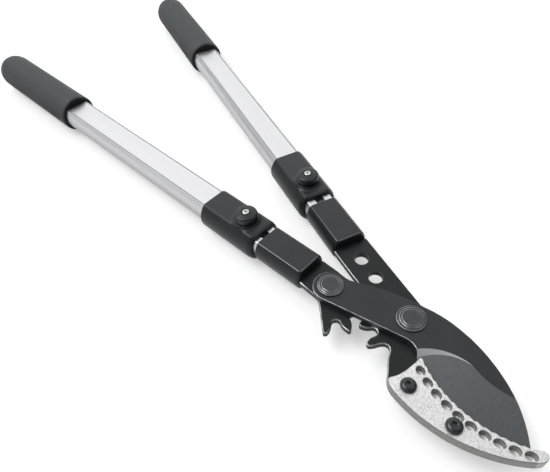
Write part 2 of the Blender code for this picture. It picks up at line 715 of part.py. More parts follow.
def collar_ring(place, inwards):
    """The collar's section at a place, drawn in by a rounding."""
    flat = COLLAR_FLAT - 0.6 * inwards
    section = flatted_section(COLLAR_RADIUS - inwards, flat, drop=COLLAR_DROP)
    return [(place, y, z) for y, z in section]


def collar(side, slide, front):
    """The clamp collar, with a boss for the knob and a nut pocket under it."""
    rounding = 5.0
    rear = front - COLLAR_LENGTH
    rings = [collar_ring(rear, 0.8), collar_ring(rear + 0.9, 0)]
    for turn in range(0, 91, 18):
        place = front - rounding + rounding * sin(radians(turn))
        rings.append(collar_ring(place, 2.5 * (1 - cos(radians(turn)))))
    made = loft(f"{side}_collar", rings, BLACK_PLASTIC, slide)
    boss = [
        (BOSS_RADIUS, COLLAR_FLAT - COLLAR_DROP - 0.8),
        (BOSS_RADIUS, BOSS_TOP - 0.6),
        (BOSS_RADIUS - 0.6, BOSS_TOP),
    ]
    raised = turned(f"{side}_boss", boss, BLACK_PLASTIC, slide, steps=28)
    raised.location = to_metres((front - KNOB_SETBACK, 0, 0))
    combine(made, raised, "UNION")
    tube = flatted_section(TUBE_RADIUS + GAP, TUBE_FLAT + GAP)
    step = front - TUBE_SETBACK + GAP
    combine(made, along(f"{side}_collar_bore", tube, rear - 5, step, BLACK_PLASTIC, slide))
    throat = flatted_section(INNER_RADIUS + GAP, INNER_FLAT + GAP)
    combine(made, along(f"{side}_collar_throat", throat, step - 5, front + 5, BLACK_PLASTIC, slide))
    opening = hexagon(CLAMP_NUT_ACROSS + 2 * GAP)
    rings = [lifted(opening, TUBE_FLAT - 1), lifted(opening, BOSS_TOP - 0.6)]
    pocket = loft(f"{side}_nut_pocket", rings, BLACK_PLASTIC, slide)
    pocket.location = raised.location
    combine(made, pocket)
    hole = CLAMP_SHANK_RADIUS + GAP
    knob = front - KNOB_SETBACK
    combine(made, upright(f"{side}_boss_hole", hole, TUBE_FLAT, BOSS_TOP + 2, BLACK_PLASTIC, slide, knob))
    size = (CLAMP_NUT_ACROSS, TUBE_FLAT + 2 * GAP, CLAMP_NUT_HEIGHT, hole)
    nut(f"{side}_clamp_nut", *size, BRIGHT_STEEL, slide, (knob, 0))


def clamp_knob(side, axis):
    """The round knob and the screw through it, whose tip stops just above the channel's floor."""
    foot = BOSS_TOP + GAP
    hole = CLAMP_SHANK_RADIUS + GAP
    profile = [
        (hole, foot),
        (KNOB_RADIUS - 0.5, foot),
        (KNOB_RADIUS, foot + 0.5),
        (KNOB_RADIUS, foot + 5.2),
        (KNOB_RADIUS - 0.4, foot + 6.1),
        (KNOB_RADIUS - 1.4, foot + 6.8),
        (6.0, foot + 7.2),
        (3.8, foot + 7.2),
        (3.5, foot + 6.3),
        (hole, foot + 6.3),
    ]
    turned(f"{side}_clamp_knob", profile, BLACK_PLASTIC, axis, bored=True, steps=28)
    under = foot + 6.3 + GAP
    tip = INNER_FLAT - CHANNEL_DEPTH + GAP
    screw = [
        (CLAMP_SHANK_RADIUS - 0.4, tip),
        (CLAMP_SHANK_RADIUS, tip + 0.4),
        (CLAMP_SHANK_RADIUS, under),
        (3.1, under),
        (3.1, under + 0.8),
        (2.6, under + 1.2),
    ]
    rings = [lifted(circle(radius), height) for radius, height in screw]
    socket = hexagon(2.5)
    rings += [lifted(socket, under + 1.2), lifted(socket, under)]
    loft(f"{side}_clamp_screw", rings, BRIGHT_STEEL, axis)


def grip(side, slide, front):
    """The soft grip: a little thicker in front, with a domed end, and bored for the tube."""
    rings = [
        (GRIP_SETBACK, GRIP_RADIUS - 0.9),
        (GRIP_SETBACK + 0.25, GRIP_RADIUS - 0.3),
        (GRIP_SETBACK + 1.0, GRIP_RADIUS + 0.4),
        (DOME_SETBACK, GRIP_RADIUS + 0.1),
    ]
    depth = GRIP_END_SETBACK - DOME_SETBACK
    for turn in range(12, 85, 12):
        rings.append((DOME_SETBACK + depth * sin(radians(turn)), (GRIP_RADIUS + 0.1) * cos(radians(turn))))
    section = [[(front - setback, y, z) for y, z in circle(radius, 28)] for setback, radius in rings]
    made = loft(f"{side}_grip", section, RUBBER, slide)
    bore = flatted_section(TUBE_RADIUS + GAP, TUBE_FLAT + GAP)
    reach = (front - TUBE_END_SETBACK - GAP, front - GRIP_SETBACK + 5)
    combine(made, along(f"{side}_grip_bore", bore, *reach, RUBBER, slide))


def handle(side, axis, angle, foot, front):
    """One handle, in a frame that lies along it: what stays with the plate, then what slides."""
    corner = (foot[0] - 1000 * axis.location.x, foot[1] - 1000 * axis.location.y, HANDLE_HEIGHT)
    frame = empty(f"{side}_handle_frame", corner, axis, angle)
    end_fitting(side, frame)
    inner_tube(side, frame)
    slide = empty(f"{side}_slide", (0, 0, 0), frame)
    outer_tube(side, slide, front)
    collar(side, slide, front)
    grip(side, slide, front)
    clamp_knob(side, empty(f"{side}_knob_axis", (front - KNOB_SETBACK, 0, 0), slide))


def main():
    for old in list(bpy.data.objects):
        bpy.data.objects.remove(old)
    blade_plate()
    pivot("main_pivot", MAIN_PIVOT, MAIN_FLANGE_RADIUS)
    pivot("lever_pivot", LEVER_PIVOT, LEVER_FLANGE_RADIUS)
    lever_axis = empty("lever_axis", (*LEVER_PIVOT, 0))
    hook_axis = empty("hook_axis", (*MAIN_PIVOT, 0))
    lever_plate(lever_axis)
    hook_plate(hook_axis)
    serrated_jaw(hook_axis)
    for number, centre in enumerate(JAW_SCREWS, 1):
        jaw_fastener(number, centre, hook_axis)
    handle("left", lever_axis, LEFT_ANGLE, LEFT_FOOT, LEFT_COLLAR_FRONT)
    handle("right", hook_axis, RIGHT_ANGLE, RIGHT_FOOT, RIGHT_COLLAR_FRONT)


main()
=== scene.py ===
import json
from math import acos, asin, atan2, cos, degrees, hypot, radians, sin, sqrt, tan

import bmesh
import bpy
from mathutils import Matrix, Vector

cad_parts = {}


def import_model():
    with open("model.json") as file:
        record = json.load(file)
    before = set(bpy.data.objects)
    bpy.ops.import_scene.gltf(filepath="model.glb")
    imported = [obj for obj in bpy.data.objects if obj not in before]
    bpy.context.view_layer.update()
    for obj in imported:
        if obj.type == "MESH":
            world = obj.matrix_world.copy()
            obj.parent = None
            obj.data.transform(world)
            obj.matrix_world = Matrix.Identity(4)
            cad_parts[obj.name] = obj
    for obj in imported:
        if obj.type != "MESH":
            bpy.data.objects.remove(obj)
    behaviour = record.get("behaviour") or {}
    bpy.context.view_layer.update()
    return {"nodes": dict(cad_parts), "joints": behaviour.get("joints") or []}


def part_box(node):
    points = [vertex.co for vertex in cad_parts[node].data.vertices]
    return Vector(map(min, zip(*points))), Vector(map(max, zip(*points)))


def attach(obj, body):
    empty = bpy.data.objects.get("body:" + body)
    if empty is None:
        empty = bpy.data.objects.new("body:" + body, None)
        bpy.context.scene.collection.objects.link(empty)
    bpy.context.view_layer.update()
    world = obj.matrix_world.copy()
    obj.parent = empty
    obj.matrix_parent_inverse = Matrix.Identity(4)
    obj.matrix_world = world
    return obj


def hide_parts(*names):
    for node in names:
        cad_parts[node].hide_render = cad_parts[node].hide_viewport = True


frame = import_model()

SCENE = bpy.context.scene

# ----- places in millimetres, from the frame
joints = {joint["name"]: joint for joint in frame["joints"]}
SIDES = ("left", "right")
PLATE_BODY = {"left": "lever", "right": "hook"}


def heights(node):
    """The heights of a CAD node's lowest and highest points."""
    return [corner.z * 1000 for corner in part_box(node)]


def pivot_of(name):
    """A joint's place in XY."""
    x, y, _ = joints[name]["pos_m"]
    return (x * 1000, y * 1000)


MAIN_PIVOT = pivot_of("main_pivot")
LEVER_PIVOT = pivot_of("lever_pivot")
BLADE_BOTTOM, BLADE_TOP = heights("blade_plate")
PLATE_BOTTOM, PLATE_TOP = heights("hook_plate")
JAW_BOTTOM, JAW_TOP = heights("serrated_jaw")
HANDLE_HEIGHT = (PLATE_TOP + PLATE_BOTTOM) / 2
GAP = 0.3  # between touching pieces

# ----- the CAD's shapes, which are cut finer here
# Cutting arc, which the blade's edge, the hook plate's edge, the jaw's lip and its pockets share
ARC_CENTRE = (62.4, 59.0)
LIP_RADIUS = 85.0
SAW_TEETH, SAW_START, SAW_END, SAW_DEPTH = 15, -55.6, -114.0, 0.9
EDGE_RADIUS, EDGE_THICKNESS = 87.2, 0.5
HOOK_RADIUS = 83.5
POCKET_RADIUS = 89.85
POCKETS, FIRST_POCKET, LAST_POCKET = 10, -108.2, -55.4
POCKET_HALF_LENGTH, POCKET_HALF_WIDTH = 3.75, 2.85
# Heights from the jaw's top, and what is added there to a pocket's half sizes
POCKET_RINGS = ((-6.2, -0.7), (-6.05, -0.3), (-5.6, 0), (-0.55, 0), (-0.15, 0.2), (2.0, 1.8))
REBATE_DEPTH = 1.8
SPINE_CENTRE = (40.1, 52.5)  # of the jaw's and the hook's outer arcs
JAW_OUTER_RADIUS, HOOK_OUTER_RADIUS = 103.5, 100.5
COVERED_EDGE = 26.0  # the x past which the hook plate's edge lies behind the jaw and keeps its coating, with no wear or painted highlight
GRIND_RADIUS = 54.2  # where the blade's hollow grind starts
WHEEL_CENTRE, WHEEL_RADIUS, WHEEL_TOUCH = (55.3, -34.9), 40.9, -97.6
LOBE_RADIUS = 13.8  # of the blade round the lever pivot

# Gear between the two plates; each one has a centre, a profile shift, a root radius and a tip radius
PITCH_RADIUS = hypot(*LEVER_PIVOT) / 2
TOOTH_PITCH = 360 / 13
PRESSURE_ANGLE = 16
BACKLASH = 0.8
PROFILE_SHIFT = 0.8
LEVER_GEAR = (LEVER_PIVOT, PROFILE_SHIFT, 27.5, 39.4)
HOOK_GEAR = (MAIN_PIVOT, -PROFILE_SHIFT, 25.6, 37.5)
LINE_OF_CENTRES = degrees(atan2(-LEVER_PIVOT[1], -LEVER_PIVOT[0]))
MESH_PHASE = 14.7  # from the line of centres to the lever's nearest tooth
# Rise above the root and degrees beyond the flank; then radius and degrees from a tooth's middle
ROOT_FILLET = ((0, 4.6), (0.5, 3.0), (0.9, 1.9), (1.6, 0.9), (2.5, 0.1))
LEVER_END_TOOTH = ((30.0, 7.6), (31.5, 7.4), (33.5, 6.7), (35.8, 5.5), (37.6, 4.2), (38.8, 2.8), (39.5, 1.0))
HOOK_END_TOOTH = ((33.5, 5.6), (31.0, 6.8), (28.7, 8.5), (27.0, 10.9), (26.2, 13.6), (25.8, 17.3))

# Fasteners
BORE_RADIUS, SHANK_RADIUS = 5.3, 5.0
MAIN_FLANGE_RADIUS, LEVER_FLANGE_RADIUS = 11.2, 10.4
HEAD_HEIGHT = 2.2
WASHER_RADIUS, WASHER_THICKNESS = 11.0, 1.5
NUT_ACROSS, NUT_HEIGHT = 16, 8.0
JAW_SCREWS = ((37.1, -40.7), (73.6, -37.6))
SCREW_SHANK_RADIUS, SCREW_HEAD_RADIUS, SCREW_HEAD_HEIGHT = 2.5, 5.6, 3.2
SOCKET_ACROSS, SOCKET_RIM = 4, 2.5
JAW_NUT_ACROSS, JAW_NUT_HEIGHT = 7.4, 3.0
PIN_RADIUS, PIN_HOLE_RADIUS, PIN_FOOT = 2.5, 2.8, -11.0
CLAMP_BORE_RADIUS, CLAMP_SHANK_RADIUS, CLAMP_HEAD_RADIUS, CLAMP_SOCKET_ACROSS = 2.3, 2.0, 3.1, 2.5
CLAMP_NUT_ACROSS, CLAMP_NUT_HEIGHT, CLAMP_NUT_FOOT = 8.0, 2.5, 11.6

# Places along a handle, from its foot beside the main pivot; the jaw's end is +
FITTING_FRONT, FITTING_REAR = -87.5, -136.0
SHOULDER = FITTING_FRONT + GAP
TANG_PIN, TUBE_PIN = -98.0, -124.0
TANG_END, HALF_TANG = -110.0, 9.5
TANG_HOLES, TANG_HOLE_RADIUS = (-69.2, -47.9), 5.7
INNER_FRONT, INNER_REAR = -112.5, -520.0
COLLAR_FRONT = {"left": -140.4, "right": -143.6}

# Setbacks from the collar's front
COLLAR_LENGTH, TUBE_SETBACK, KNOB_SETBACK = 63.0, 9.0, 19.6
GRIP_SETBACK, DOME_SETBACK, TUBE_END_SETBACK, GRIP_END_SETBACK = 292.0, 431.6, 442.6, 455.0

# Sections across a handle: a circle's radius and the height of its flats, or of its upper and lower one
FITTING_RADIUS, FITTING_FLAT = 16.0, 11.2
TUBE_RADIUS, TUBE_FLAT = 15.9, 11.0
TUBE_BORE = (14.6, 9.7)
ROUND_THE_TUBE = (16.2, 11.3)
INNER_SECTION, INNER_BORE = (13.9, 9.0), (12.4, 4.1, 7.5)
ROUND_THE_INNER = (14.2, 9.3)
GUIDE_RING, GUIDE_PLUG = (14.2, 9.3, 9.3), (12.1, 3.8, 7.2)
CHANNEL_SECTION = [(-3.9, 5.6), (3.9, 5.6), (4.1, 9.0), (4.1, 13.9), (-4.1, 13.9), (-4.1, 9.0)]
GROOVE_SECTION = ((0.3, 0.08), (0.42, 0.42), (0.65, 0.5), (0.88, 0.42), (1.0, 0))  # across and deep
COLLAR_RADIUS, COLLAR_FLAT, COLLAR_DROP = 18.3, 14.2, 1.2
BOSS_RADIUS, BOSS_TOP, BOSS_SKIRT, KNOB_RADIUS = 12.0, 15.0, 3.6, 10.0
GRIP_RADIUS, GRIP_TAPER, GRIP_WAIST = 19.4, 0.3, 0.12
PAST = 5  # how far a cutter runs past the end that it cuts


def handle_place(side):
    """The matrix along a handle, and the foot and angle of its centre line."""
    axis = joints[f"{side}_telescope"]["axis"]
    angle = atan2(-axis[1], -axis[0])
    reach = COLLAR_FRONT[side] - KNOB_SETBACK
    x, y = pivot_of(f"{side}_knob_turn")
    foot = (x - reach * cos(angle), y - reach * sin(angle))
    place = Matrix.Translation((foot[0] / 1000, foot[1] / 1000, HANDLE_HEIGHT / 1000))
    return place @ Matrix.Rotation(angle, 4, "Z"), foot, degrees(angle)


HANDLE = {side: handle_place(side) for side in SIDES}


# ----- outlines, with angles in degrees
def at(centre, radius, angle):
    """The point at a radius and an angle from a centre."""
    return (centre[0] + radius * cos(radians(angle)), centre[1] + radius * sin(radians(angle)))


def arc(centre, radius, start, end, steps):
    return [at(centre, radius, start + (end - start) * i / steps) for i in range(steps + 1)]


def circle(radius, steps=64):
    return arc((0, 0), radius, 0, 360, steps)[:-1]


def hexagon(across, steps=48):
    """A hexagon as points at even angles, to be joined to a circle."""
    angles = [360 * i / steps for i in range(steps)]
    return [at((0, 0), across / 2 / cos(radians((turn + 30) % 60 - 30)), turn) for turn in angles]


def rectangle(half_width, half_height):
    return [(x * half_width, y * half_height) for x, y in ((-1, -1), (1, -1), (1, 1), (-1, 1))]


def quarter(depth, inwards, steps):
    """A quarter round: how far short of its end each step is, and how far inwards."""
    turns = [radians(90 * k / steps) for k in range(steps + 1)]
    return [(depth * (1 - sin(turn)), inwards * (1 - cos(turn))) for turn in turns]


def scaled(outline, share):
    return [(x * share, y * share) for x, y in outline]


def lifted(outline, height):
    """An outline in XY, at a height."""
    return [(x, y, height) for x, y in outline]


def upright(section, x):
    """A section in YZ, at a place along a handle."""
    return [(x, y, z) for y, z in section]


def rounds(profile, steps):
    """Level circles, one for each radius and height of a profile."""
    return [lifted(circle(radius, steps), height) for radius, height in profile]


def apart(first, second):
    """Two points' distance, never quite zero."""
    return max(1e-6, hypot(second[0] - first[0], second[1] - first[1]))


def filleted(points, radius, closed=True, steps=4):
    """An outline with each corner replaced by a small curve."""
    made = []
    last = len(points) - 1
    for i, here in enumerate(points):
        if not closed and i in (0, last):
            made.append(here)
            continue
        ends = []
        for other in (points[i - 1], points[(i + 1) % len(points)]):
            share = min(radius / apart(here, other), 0.45)
            ends.append([here[axis] + (other[axis] - here[axis]) * share for axis in (0, 1)])
        for k in range(steps + 1):
            t = k / steps
            weights = ((1 - t) ** 2, 2 * t * (1 - t), t * t)
            curve = list(zip(weights, (ends[0], here, ends[1])))
            made.append(tuple(sum(weight * point[axis] for weight, point in curve) for axis in (0, 1)))
    return made


def inset(outline, width):
    """A counterclockwise outline moved inwards."""
    moved = []
    for i, (x, y) in enumerate(outline):
        before = outline[i - 1]
        after = outline[(i + 1) % len(outline)]
        first, second = apart(before, (x, y)), apart((x, y), after)
        ax, ay = (before[1] - y) / first, (x - before[0]) / first
        bx, by = (y - after[1]) / second, (after[0] - x) / second
        share = width / max(0.5, 1 + ax * bx + ay * by)
        moved.append((x + share * (ax + bx), y + share * (ay + by)))
    return moved


def flatted(radius, top, bottom=None, drop=0.0, soft=1.2, steps=20):
    """A circle in YZ with a flat top and bottom, and soft corners between."""
    low_flat = top if bottom is None else bottom
    upper = degrees(asin(top / radius))
    lower = degrees(asin(low_flat / radius))
    right = arc((0, -drop), radius, -lower, upper, steps)
    left = arc((0, -drop), radius, 180 - upper, 180 + lower, steps)
    return filleted(right + left, soft, steps=3) if soft else right + left


def handle_point(side, place, across):
    """The world's XY of a place along a handle and to its side."""
    _, (x, y), angle = HANDLE[side]
    turn = radians(angle)
    return (x + place * cos(turn) - across * sin(turn), y + place * sin(turn) + across * cos(turn))


def handle_points(side, *points):
    return [handle_point(side, *point) for point in points]


# ----- meshes
def shell(rings, look, closed=False, place=None):
    """A closed mesh through rings of equal length, in millimetres."""
    count = len(rings[0])
    shape = bmesh.new()
    corners = [[shape.verts.new([v / 1000 for v in point]) for point in ring] for ring in rings]
    pairs = list(zip(corners, corners[1:]))
    if closed:
        pairs.append((corners[-1], corners[0]))
    else:
        shape.faces.new(corners[0])
        shape.faces.new(corners[-1])
    for near, far in pairs:
        for i in range(count):
            j = (i + 1) % count
            shape.faces.new((near[i], near[j], far[j], far[i]))
    bmesh.ops.recalc_face_normals(shape, faces=shape.faces)
    mesh = bpy.data.meshes.new("piece")
    shape.to_mesh(mesh)
    shape.free()
    mesh.materials.append(look)
    made = bpy.data.objects.new("piece", mesh)
    if place is not None:
        made.matrix_world = place
    SCENE.collection.objects.link(made)
    return made


def spot(centre):
    """The matrix that moves a piece to a point in XY."""
    return Matrix.Translation((centre[0] / 1000, centre[1] / 1000, 0))


def turned(profile, look, place, bored=False, steps=96, soft=0.0):
    """A profile of radii and heights turned round Z; a bored one is a ring without end faces."""
    if soft:
        profile = filleted(profile, soft, closed=bored, steps=3)
    return shell(rounds(profile, steps), look, bored, place)


def prism(outline, bottom, top, look, place=None):
    return shell([lifted(outline, bottom), lifted(outline, top)], look, place=place)


def along(section, start, end, look, place):
    """A section in YZ, extruded along a handle."""
    return shell([upright(section, start), upright(section, end)], look, place=place)


def paint(made, look, chosen):
    """Gives another look to the faces that a test picks."""
    made.data.materials.append(look)
    for face in made.data.polygons:
        if chosen(face):
            face.material_index = len(made.data.materials) - 1


def paint_slopes(made, look, least=0.2, most=0.97):
    """Gives another look to the faces of some slopes."""
    paint(made, look, lambda face: least < face.normal.z < most)


def plate(outline, bottom, top, look, edge_look, upper, lower):
    """A flat piece with its upper edge rounded and its lower one chamfered.
    Both edges have a look of their own, except where they face the right handle's side; on the coated plates
    and the blade that look is wear to bare steel and a painted highlight."""
    rings = [lifted(inset(outline, lower), bottom), lifted(outline, bottom + lower)]
    for sink, draw in quarter(upper, upper, 4):
        rings.append(lifted(inset(outline, draw) if draw > 1e-6 else outline, top - sink))
    made = shell(rings, look)

    def on_edge(face):
        levels = [made.data.vertices[i].co.z * 1000 for i in face.vertices]
        least, most = min(levels), max(levels)
        # Faces turned to +Y get neither the wear nor the painted highlight.
        if most - least < 1e-4 or face.normal.y > 0.1:
            return False
        return least > top - upper - 1e-3 or most < bottom + lower + 1e-3

    paint(made, edge_look, on_edge)
    return made


def settle(made):
    """Keeps what the modifiers make as the piece's own mesh."""
    bpy.context.view_layer.update()
    graph = bpy.context.evaluated_depsgraph_get()
    mesh = bpy.data.meshes.new_from_object(made.evaluated_get(graph))
    made.modifiers.clear()
    made.data = mesh


def cut(made, *cutters, operation="DIFFERENCE"):
    """Cuts the cutters from a piece, with their materials on the cut faces."""
    for cutter in cutters:
        step = made.modifiers.new("cut", "BOOLEAN")
        step.operation = operation
        step.object = cutter
        step.solver = "EXACT"
        step.material_mode = "TRANSFER"
    settle(made)
    for cutter in cutters:
        bpy.data.objects.remove(cutter)


def bore(radius, bottom, top, look, place):
    """A cutter for a plain round hole."""
    return turned([(radius, bottom), (radius, top)], look, place, steps=32)


def drill(centre, radius, bottom, top, look):
    """A cutter for a hole with both edges countersunk."""
    flare, reach = 0.5, 2.0
    wide = radius + flare + reach
    profile = [(wide, bottom - reach), (radius, bottom + flare), (radius, top - flare), (wide, top + reach)]
    return turned(profile, look, spot(centre))


def complete(made, body, slot, *nodes, angle=35, name=None):
    """Finishes a piece: its name, smooth shading, its body and the CAD nodes it stands for; the slot argument
    is not used.
    The grain attribute keeps each point's place before the piece is turned, so streaks follow a handle."""
    made.name = f"{name or nodes[0]}_finished"
    made.data.shade_smooth()
    made.data.set_sharp_from_angle(angle=radians(angle))
    made.modifiers.new("flats", "WEIGHTED_NORMAL").keep_sharp = True
    settle(made)
    grain = made.data.attributes.new("grain", "FLOAT_VECTOR", "POINT")
    grain.data.foreach_set("vector", [value for vertex in made.data.vertices for value in vertex.co])
    made.data.transform(made.matrix_world)
    made.matrix_world = Matrix.Identity(4)
    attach(made, body)
    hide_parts(*nodes)


# ----- materials
class Nodes:
    """Short calls for the nodes of a material or a world."""

    def __init__(self, owner):
        owner.use_nodes = True
        self.nodes = owner.node_tree.nodes
        self.links = owner.node_tree.links

    def add(self, kind, inputs=(), **settings):
        """A new node, with sockets linked and values set on its inputs."""
        made = self.nodes.new("ShaderNode" + kind)
        for key, value in settings.items():
            setattr(made, key, value)
        for key, value in dict(inputs).items():
            if isinstance(value, bpy.types.NodeSocket):
                self.links.new(value, made.inputs[key])
            else:
                made.inputs[key].default_value = value
        return made

    def spread(self, value, low_in=0.35, high_in=0.65, low_out=0.0, high_out=1.0):
        """A value carried from one range to another, held at the ends."""
        inputs = {0: value, 1: low_in, 2: high_in, 3: low_out, 4: high_out}
        return self.add("MapRange", inputs, interpolation_type="SMOOTHSTEP").outputs[0]

    def math(self, first, second, operation):
        return self.add("Math", {0: first, 1: second}, operation=operation).outputs[0]


class Look(Nodes):
    """A material. Its node sizes are in metres and its noise scales per metre."""

    def __init__(self, name, colour):
        self.material = bpy.data.materials.new(name)
        self.material.diffuse_color = (*colour, 1)
        super().__init__(self.material)
        self.shader = self.nodes["Principled BSDF"]
        self.grain = self.add("Attribute", attribute_name="grain").outputs["Vector"]
        self.normal = self.add("NewGeometry").outputs["Normal"]

    def noise(self, scale, stretch=(1, 1, 1), detail=3, roughness=0.55, where=None):
        """Noise over the grain, or over other coordinates, stretched by axis."""
        source = self.grain if where is None else where
        place = self.add("Mapping", {"Vector": source, "Scale": stretch}).outputs[0]
        inputs = {"Vector": place, "Scale": scale, "Detail": detail, "Roughness": roughness}
        return self.add("TexNoise", inputs).outputs["Fac"]

    def weighed(self, first, weight, second, other_weight):
        """The sum of two values, each times its weight."""
        parts = (self.math(first, weight, "MULTIPLY"), self.math(second, other_weight, "MULTIPLY"))
        return self.math(*parts, "ADD")

    def less(self, value, other, weight):
        """A value less a share of another."""
        return self.math(value, self.math(other, weight, "MULTIPLY"), "SUBTRACT")

    def tint(self, share, first, second):
        """A colour between two colours or sockets."""
        colours = [c if isinstance(c, bpy.types.NodeSocket) else (*c, 1) for c in (first, second)]
        return self.add("Mix", {0: share, 6: colours[0], 7: colours[1]}, data_type="RGBA").outputs[2]

    def shade(self, colour, deep, low_tilt, high_tilt):
        """Painted shade: a colour that deepens as the surface turns down, between two heights of its normal.
        """
        up = self.add("SeparateXYZ", {0: self.normal}).outputs["Z"]
        return self.tint(self.spread(up, low_tilt, high_tilt), deep, colour)

    def edges(self, width, start=0.02, end=0.12):
        """A share that rises on edges, over a width in millimetres, and the softened normal there."""
        soft = self.add("Bevel", {"Radius": width / 1000}, samples=6).outputs[0]
        dot = self.add("VectorMath", {0: soft, 1: self.normal}, operation="DOT_PRODUCT")
        turn = self.math(1.0, dot.outputs["Value"], "SUBTRACT")
        return self.spread(turn, start, end), soft

    def finish(self, colour, roughness, height, depth, normal, **fixed):
        """Links colour, roughness and bump, in millimetres, and sets the shader's fixed sockets."""
        inputs = {"Strength": 1.0, "Distance": depth / 1000, "Height": height, "Normal": normal}
        self.links.new(colour, self.shader.inputs["Base Color"])
        self.links.new(roughness, self.shader.inputs["Roughness"])
        self.links.new(self.add("Bump", inputs).outputs[0], self.shader.inputs["Normal"])
        for key, value in fixed.items():
            self.shader.inputs[key.replace("_", " ")].default_value = value
        return self.material


def coated_steel(name, dark, light, bare, grain, rough, specular, width=0.35):
    """A thin satin coating over steel, with fine grain and faint patches, its edges lighter toward bare steel
    as wear and a painted highlight.
    """
    t = Look(name, light)
    fine = t.noise(grain, detail=4)
    patches = t.noise(45, detail=2)
    # Edges lightened toward bare steel: wear and a painted highlight.
    wear_and_highlight, soft = t.edges(width)
    wear_and_highlight = t.math(wear_and_highlight, t.spread(t.noise(260), 0.35, 0.6, 0.45, 1.0), "MULTIPLY")
    mottle = t.weighed(fine, 0.6, patches, 0.4)
    colour = t.tint(t.spread(mottle), dark, light)
    colour = t.tint(wear_and_highlight, colour, bare)
    gloss = t.less(t.spread(mottle, 0.3, 0.7, rough - 0.07, rough + 0.07), wear_and_highlight, 0.12)
    return t.finish(colour, gloss, fine, 0.02, soft, Specular_IOR_Level=specular)


def worn_edge_and_highlight(name, coated, bare):
    """An edge where the coating has rubbed through to steel, in uneven stretches; it is both wear and a
    painted highlight.
    """
    t = Look(name, (0.3, 0.3, 0.3))
    stretches = t.spread(t.noise(140, detail=4, roughness=0.6), 0.3, 0.62, 0.25, 1.0)
    fine = t.noise(1500)
    colour = t.tint(t.math(stretches, t.spread(fine, 0.3, 0.7, 0.7, 1.0), "MULTIPLY"), coated, bare)
    gloss = t.spread(stretches, 0.0, 1.0, 0.42, 0.28)
    return t.finish(colour, gloss, fine, 0.01, t.normal, Metallic=0.9)


def ground_steel(name, dark, light, metallic, rough):
    """Ground steel: fine scratches that follow the grinding, across the edge."""
    t = Look(name, light)
    centre = (ARC_CENTRE[0] / 1000, ARC_CENTRE[1] / 1000, 0)
    offset = t.add("VectorMath", {0: t.grain, 1: centre}, operation="SUBTRACT").outputs[0]
    parts = t.add("SeparateXYZ", {0: offset}).outputs
    angle = t.math(parts[1], parts[0], "ARCTAN2")
    distance = t.add("VectorMath", {0: offset}, operation="LENGTH").outputs["Value"]
    lines = t.add("CombineXYZ", {0: angle, 1: distance}).outputs[0]
    scratch = t.noise(1.0, (260, 90, 1), detail=4, roughness=0.6, where=lines)
    both = t.weighed(scratch, 0.7, t.noise(1400), 0.3)
    _, soft = t.edges(0.15)
    colour = t.tint(t.spread(both), dark, light)
    gloss = t.spread(both, 0.3, 0.7, rough - 0.06, rough + 0.08)
    return t.finish(colour, gloss, both, 0.012, soft, Metallic=metallic)


def cast_silver(name, dark, light):
    """Sandblasted and clear-coated: sparkling grains, and brighter rubbed edges."""
    t = Look(name, light)
    cells = t.add("TexVoronoi", {"Vector": t.grain, "Scale": 1700.0}).outputs["Color"]
    glint = t.add("SeparateColor", {0: cells}).outputs[0]
    rubbed, soft = t.edges(0.4, 0.01, 0.1)
    mix = t.weighed(glint, 0.45, t.noise(2300, detail=4, roughness=0.7), 0.55)
    colour = t.tint(t.spread(mix, 0.25, 0.72), dark, light)
    colour = t.tint(t.spread(t.noise(120), 0.35, 0.7, 0.0, 0.2), colour, light)
    colour = t.tint(t.math(rubbed, 0.6, "MULTIPLY"), colour, (0.8, 0.8, 0.8))
    gloss = t.spread(mix, 0.2, 0.8, 0.42, 0.62)
    return t.finish(colour, gloss, mix, 0.06, soft, Metallic=0.85)


def anodised(name, dark, light):
    """Drawn and anodised tube: faint streaks along it, a very fine grain, painted shade in its crevices and
    painted shade towards its underside.
    """
    t = Look(name, light)
    streaks = t.noise(1.0, (6, 900, 900), detail=4, roughness=0.6)
    broad = t.noise(1.0, (2, 160, 160), detail=2)
    both = t.weighed(streaks, 0.6, broad, 0.4)
    colour = t.tint(t.spread(both, 0.3, 0.7), dark, light)
    # Painted shade: the colour darkens where ambient occlusion finds a crevice.
    crevice_shade = t.add("AmbientOcclusion", {"Distance": 0.0007}, samples=8).outputs["AO"]
    colour = t.tint(t.spread(crevice_shade, 0.3, 0.9), (0.10, 0.10, 0.105), colour)
    # Painted shade: darker as the surface turns down.
    colour = t.shade(colour, (0.26, 0.26, 0.265), -0.45, 0.6)
    gloss = t.spread(t.weighed(both, 1.0, t.noise(1500, detail=2), 0.3), 0.4, 0.9, 0.26, 0.4)
    return t.finish(colour, gloss, both, 0.004, t.normal, Metallic=0.95)


def plated(name):
    """Zinc-plated hardware, with a few dull patches and brighter edges."""
    t = Look(name, (0.6, 0.6, 0.58))
    patches = t.noise(180)
    bright, soft = t.edges(0.25)
    colour = t.tint(t.spread(patches), (0.42, 0.42, 0.41), (0.66, 0.66, 0.65))
    colour = t.tint(t.math(bright, 0.6, "MULTIPLY"), colour, (0.85, 0.85, 0.84))
    gloss = t.spread(patches, 0.3, 0.7, 0.22, 0.38)
    return t.finish(colour, gloss, t.noise(1200, detail=4), 0.008, soft, Metallic=1.0)


def moulded(name, dark, light, rough, specular, depth):
    """Moulded plastic: a fine spark-eroded texture and polished edges."""
    t = Look(name, light)
    fine = t.noise(1100, roughness=0.6)
    rubbed, soft = t.edges(0.5, 0.02, 0.2)
    both = t.weighed(fine, 0.5, t.noise(60), 0.5)
    colour = t.tint(t.spread(both), dark, light)
    gloss = t.less(t.spread(both, 0.3, 0.7, rough - 0.05, rough + 0.07), rubbed, 0.08)
    return t.finish(colour, gloss, fine, depth, soft, Specular_IOR_Level=specular)


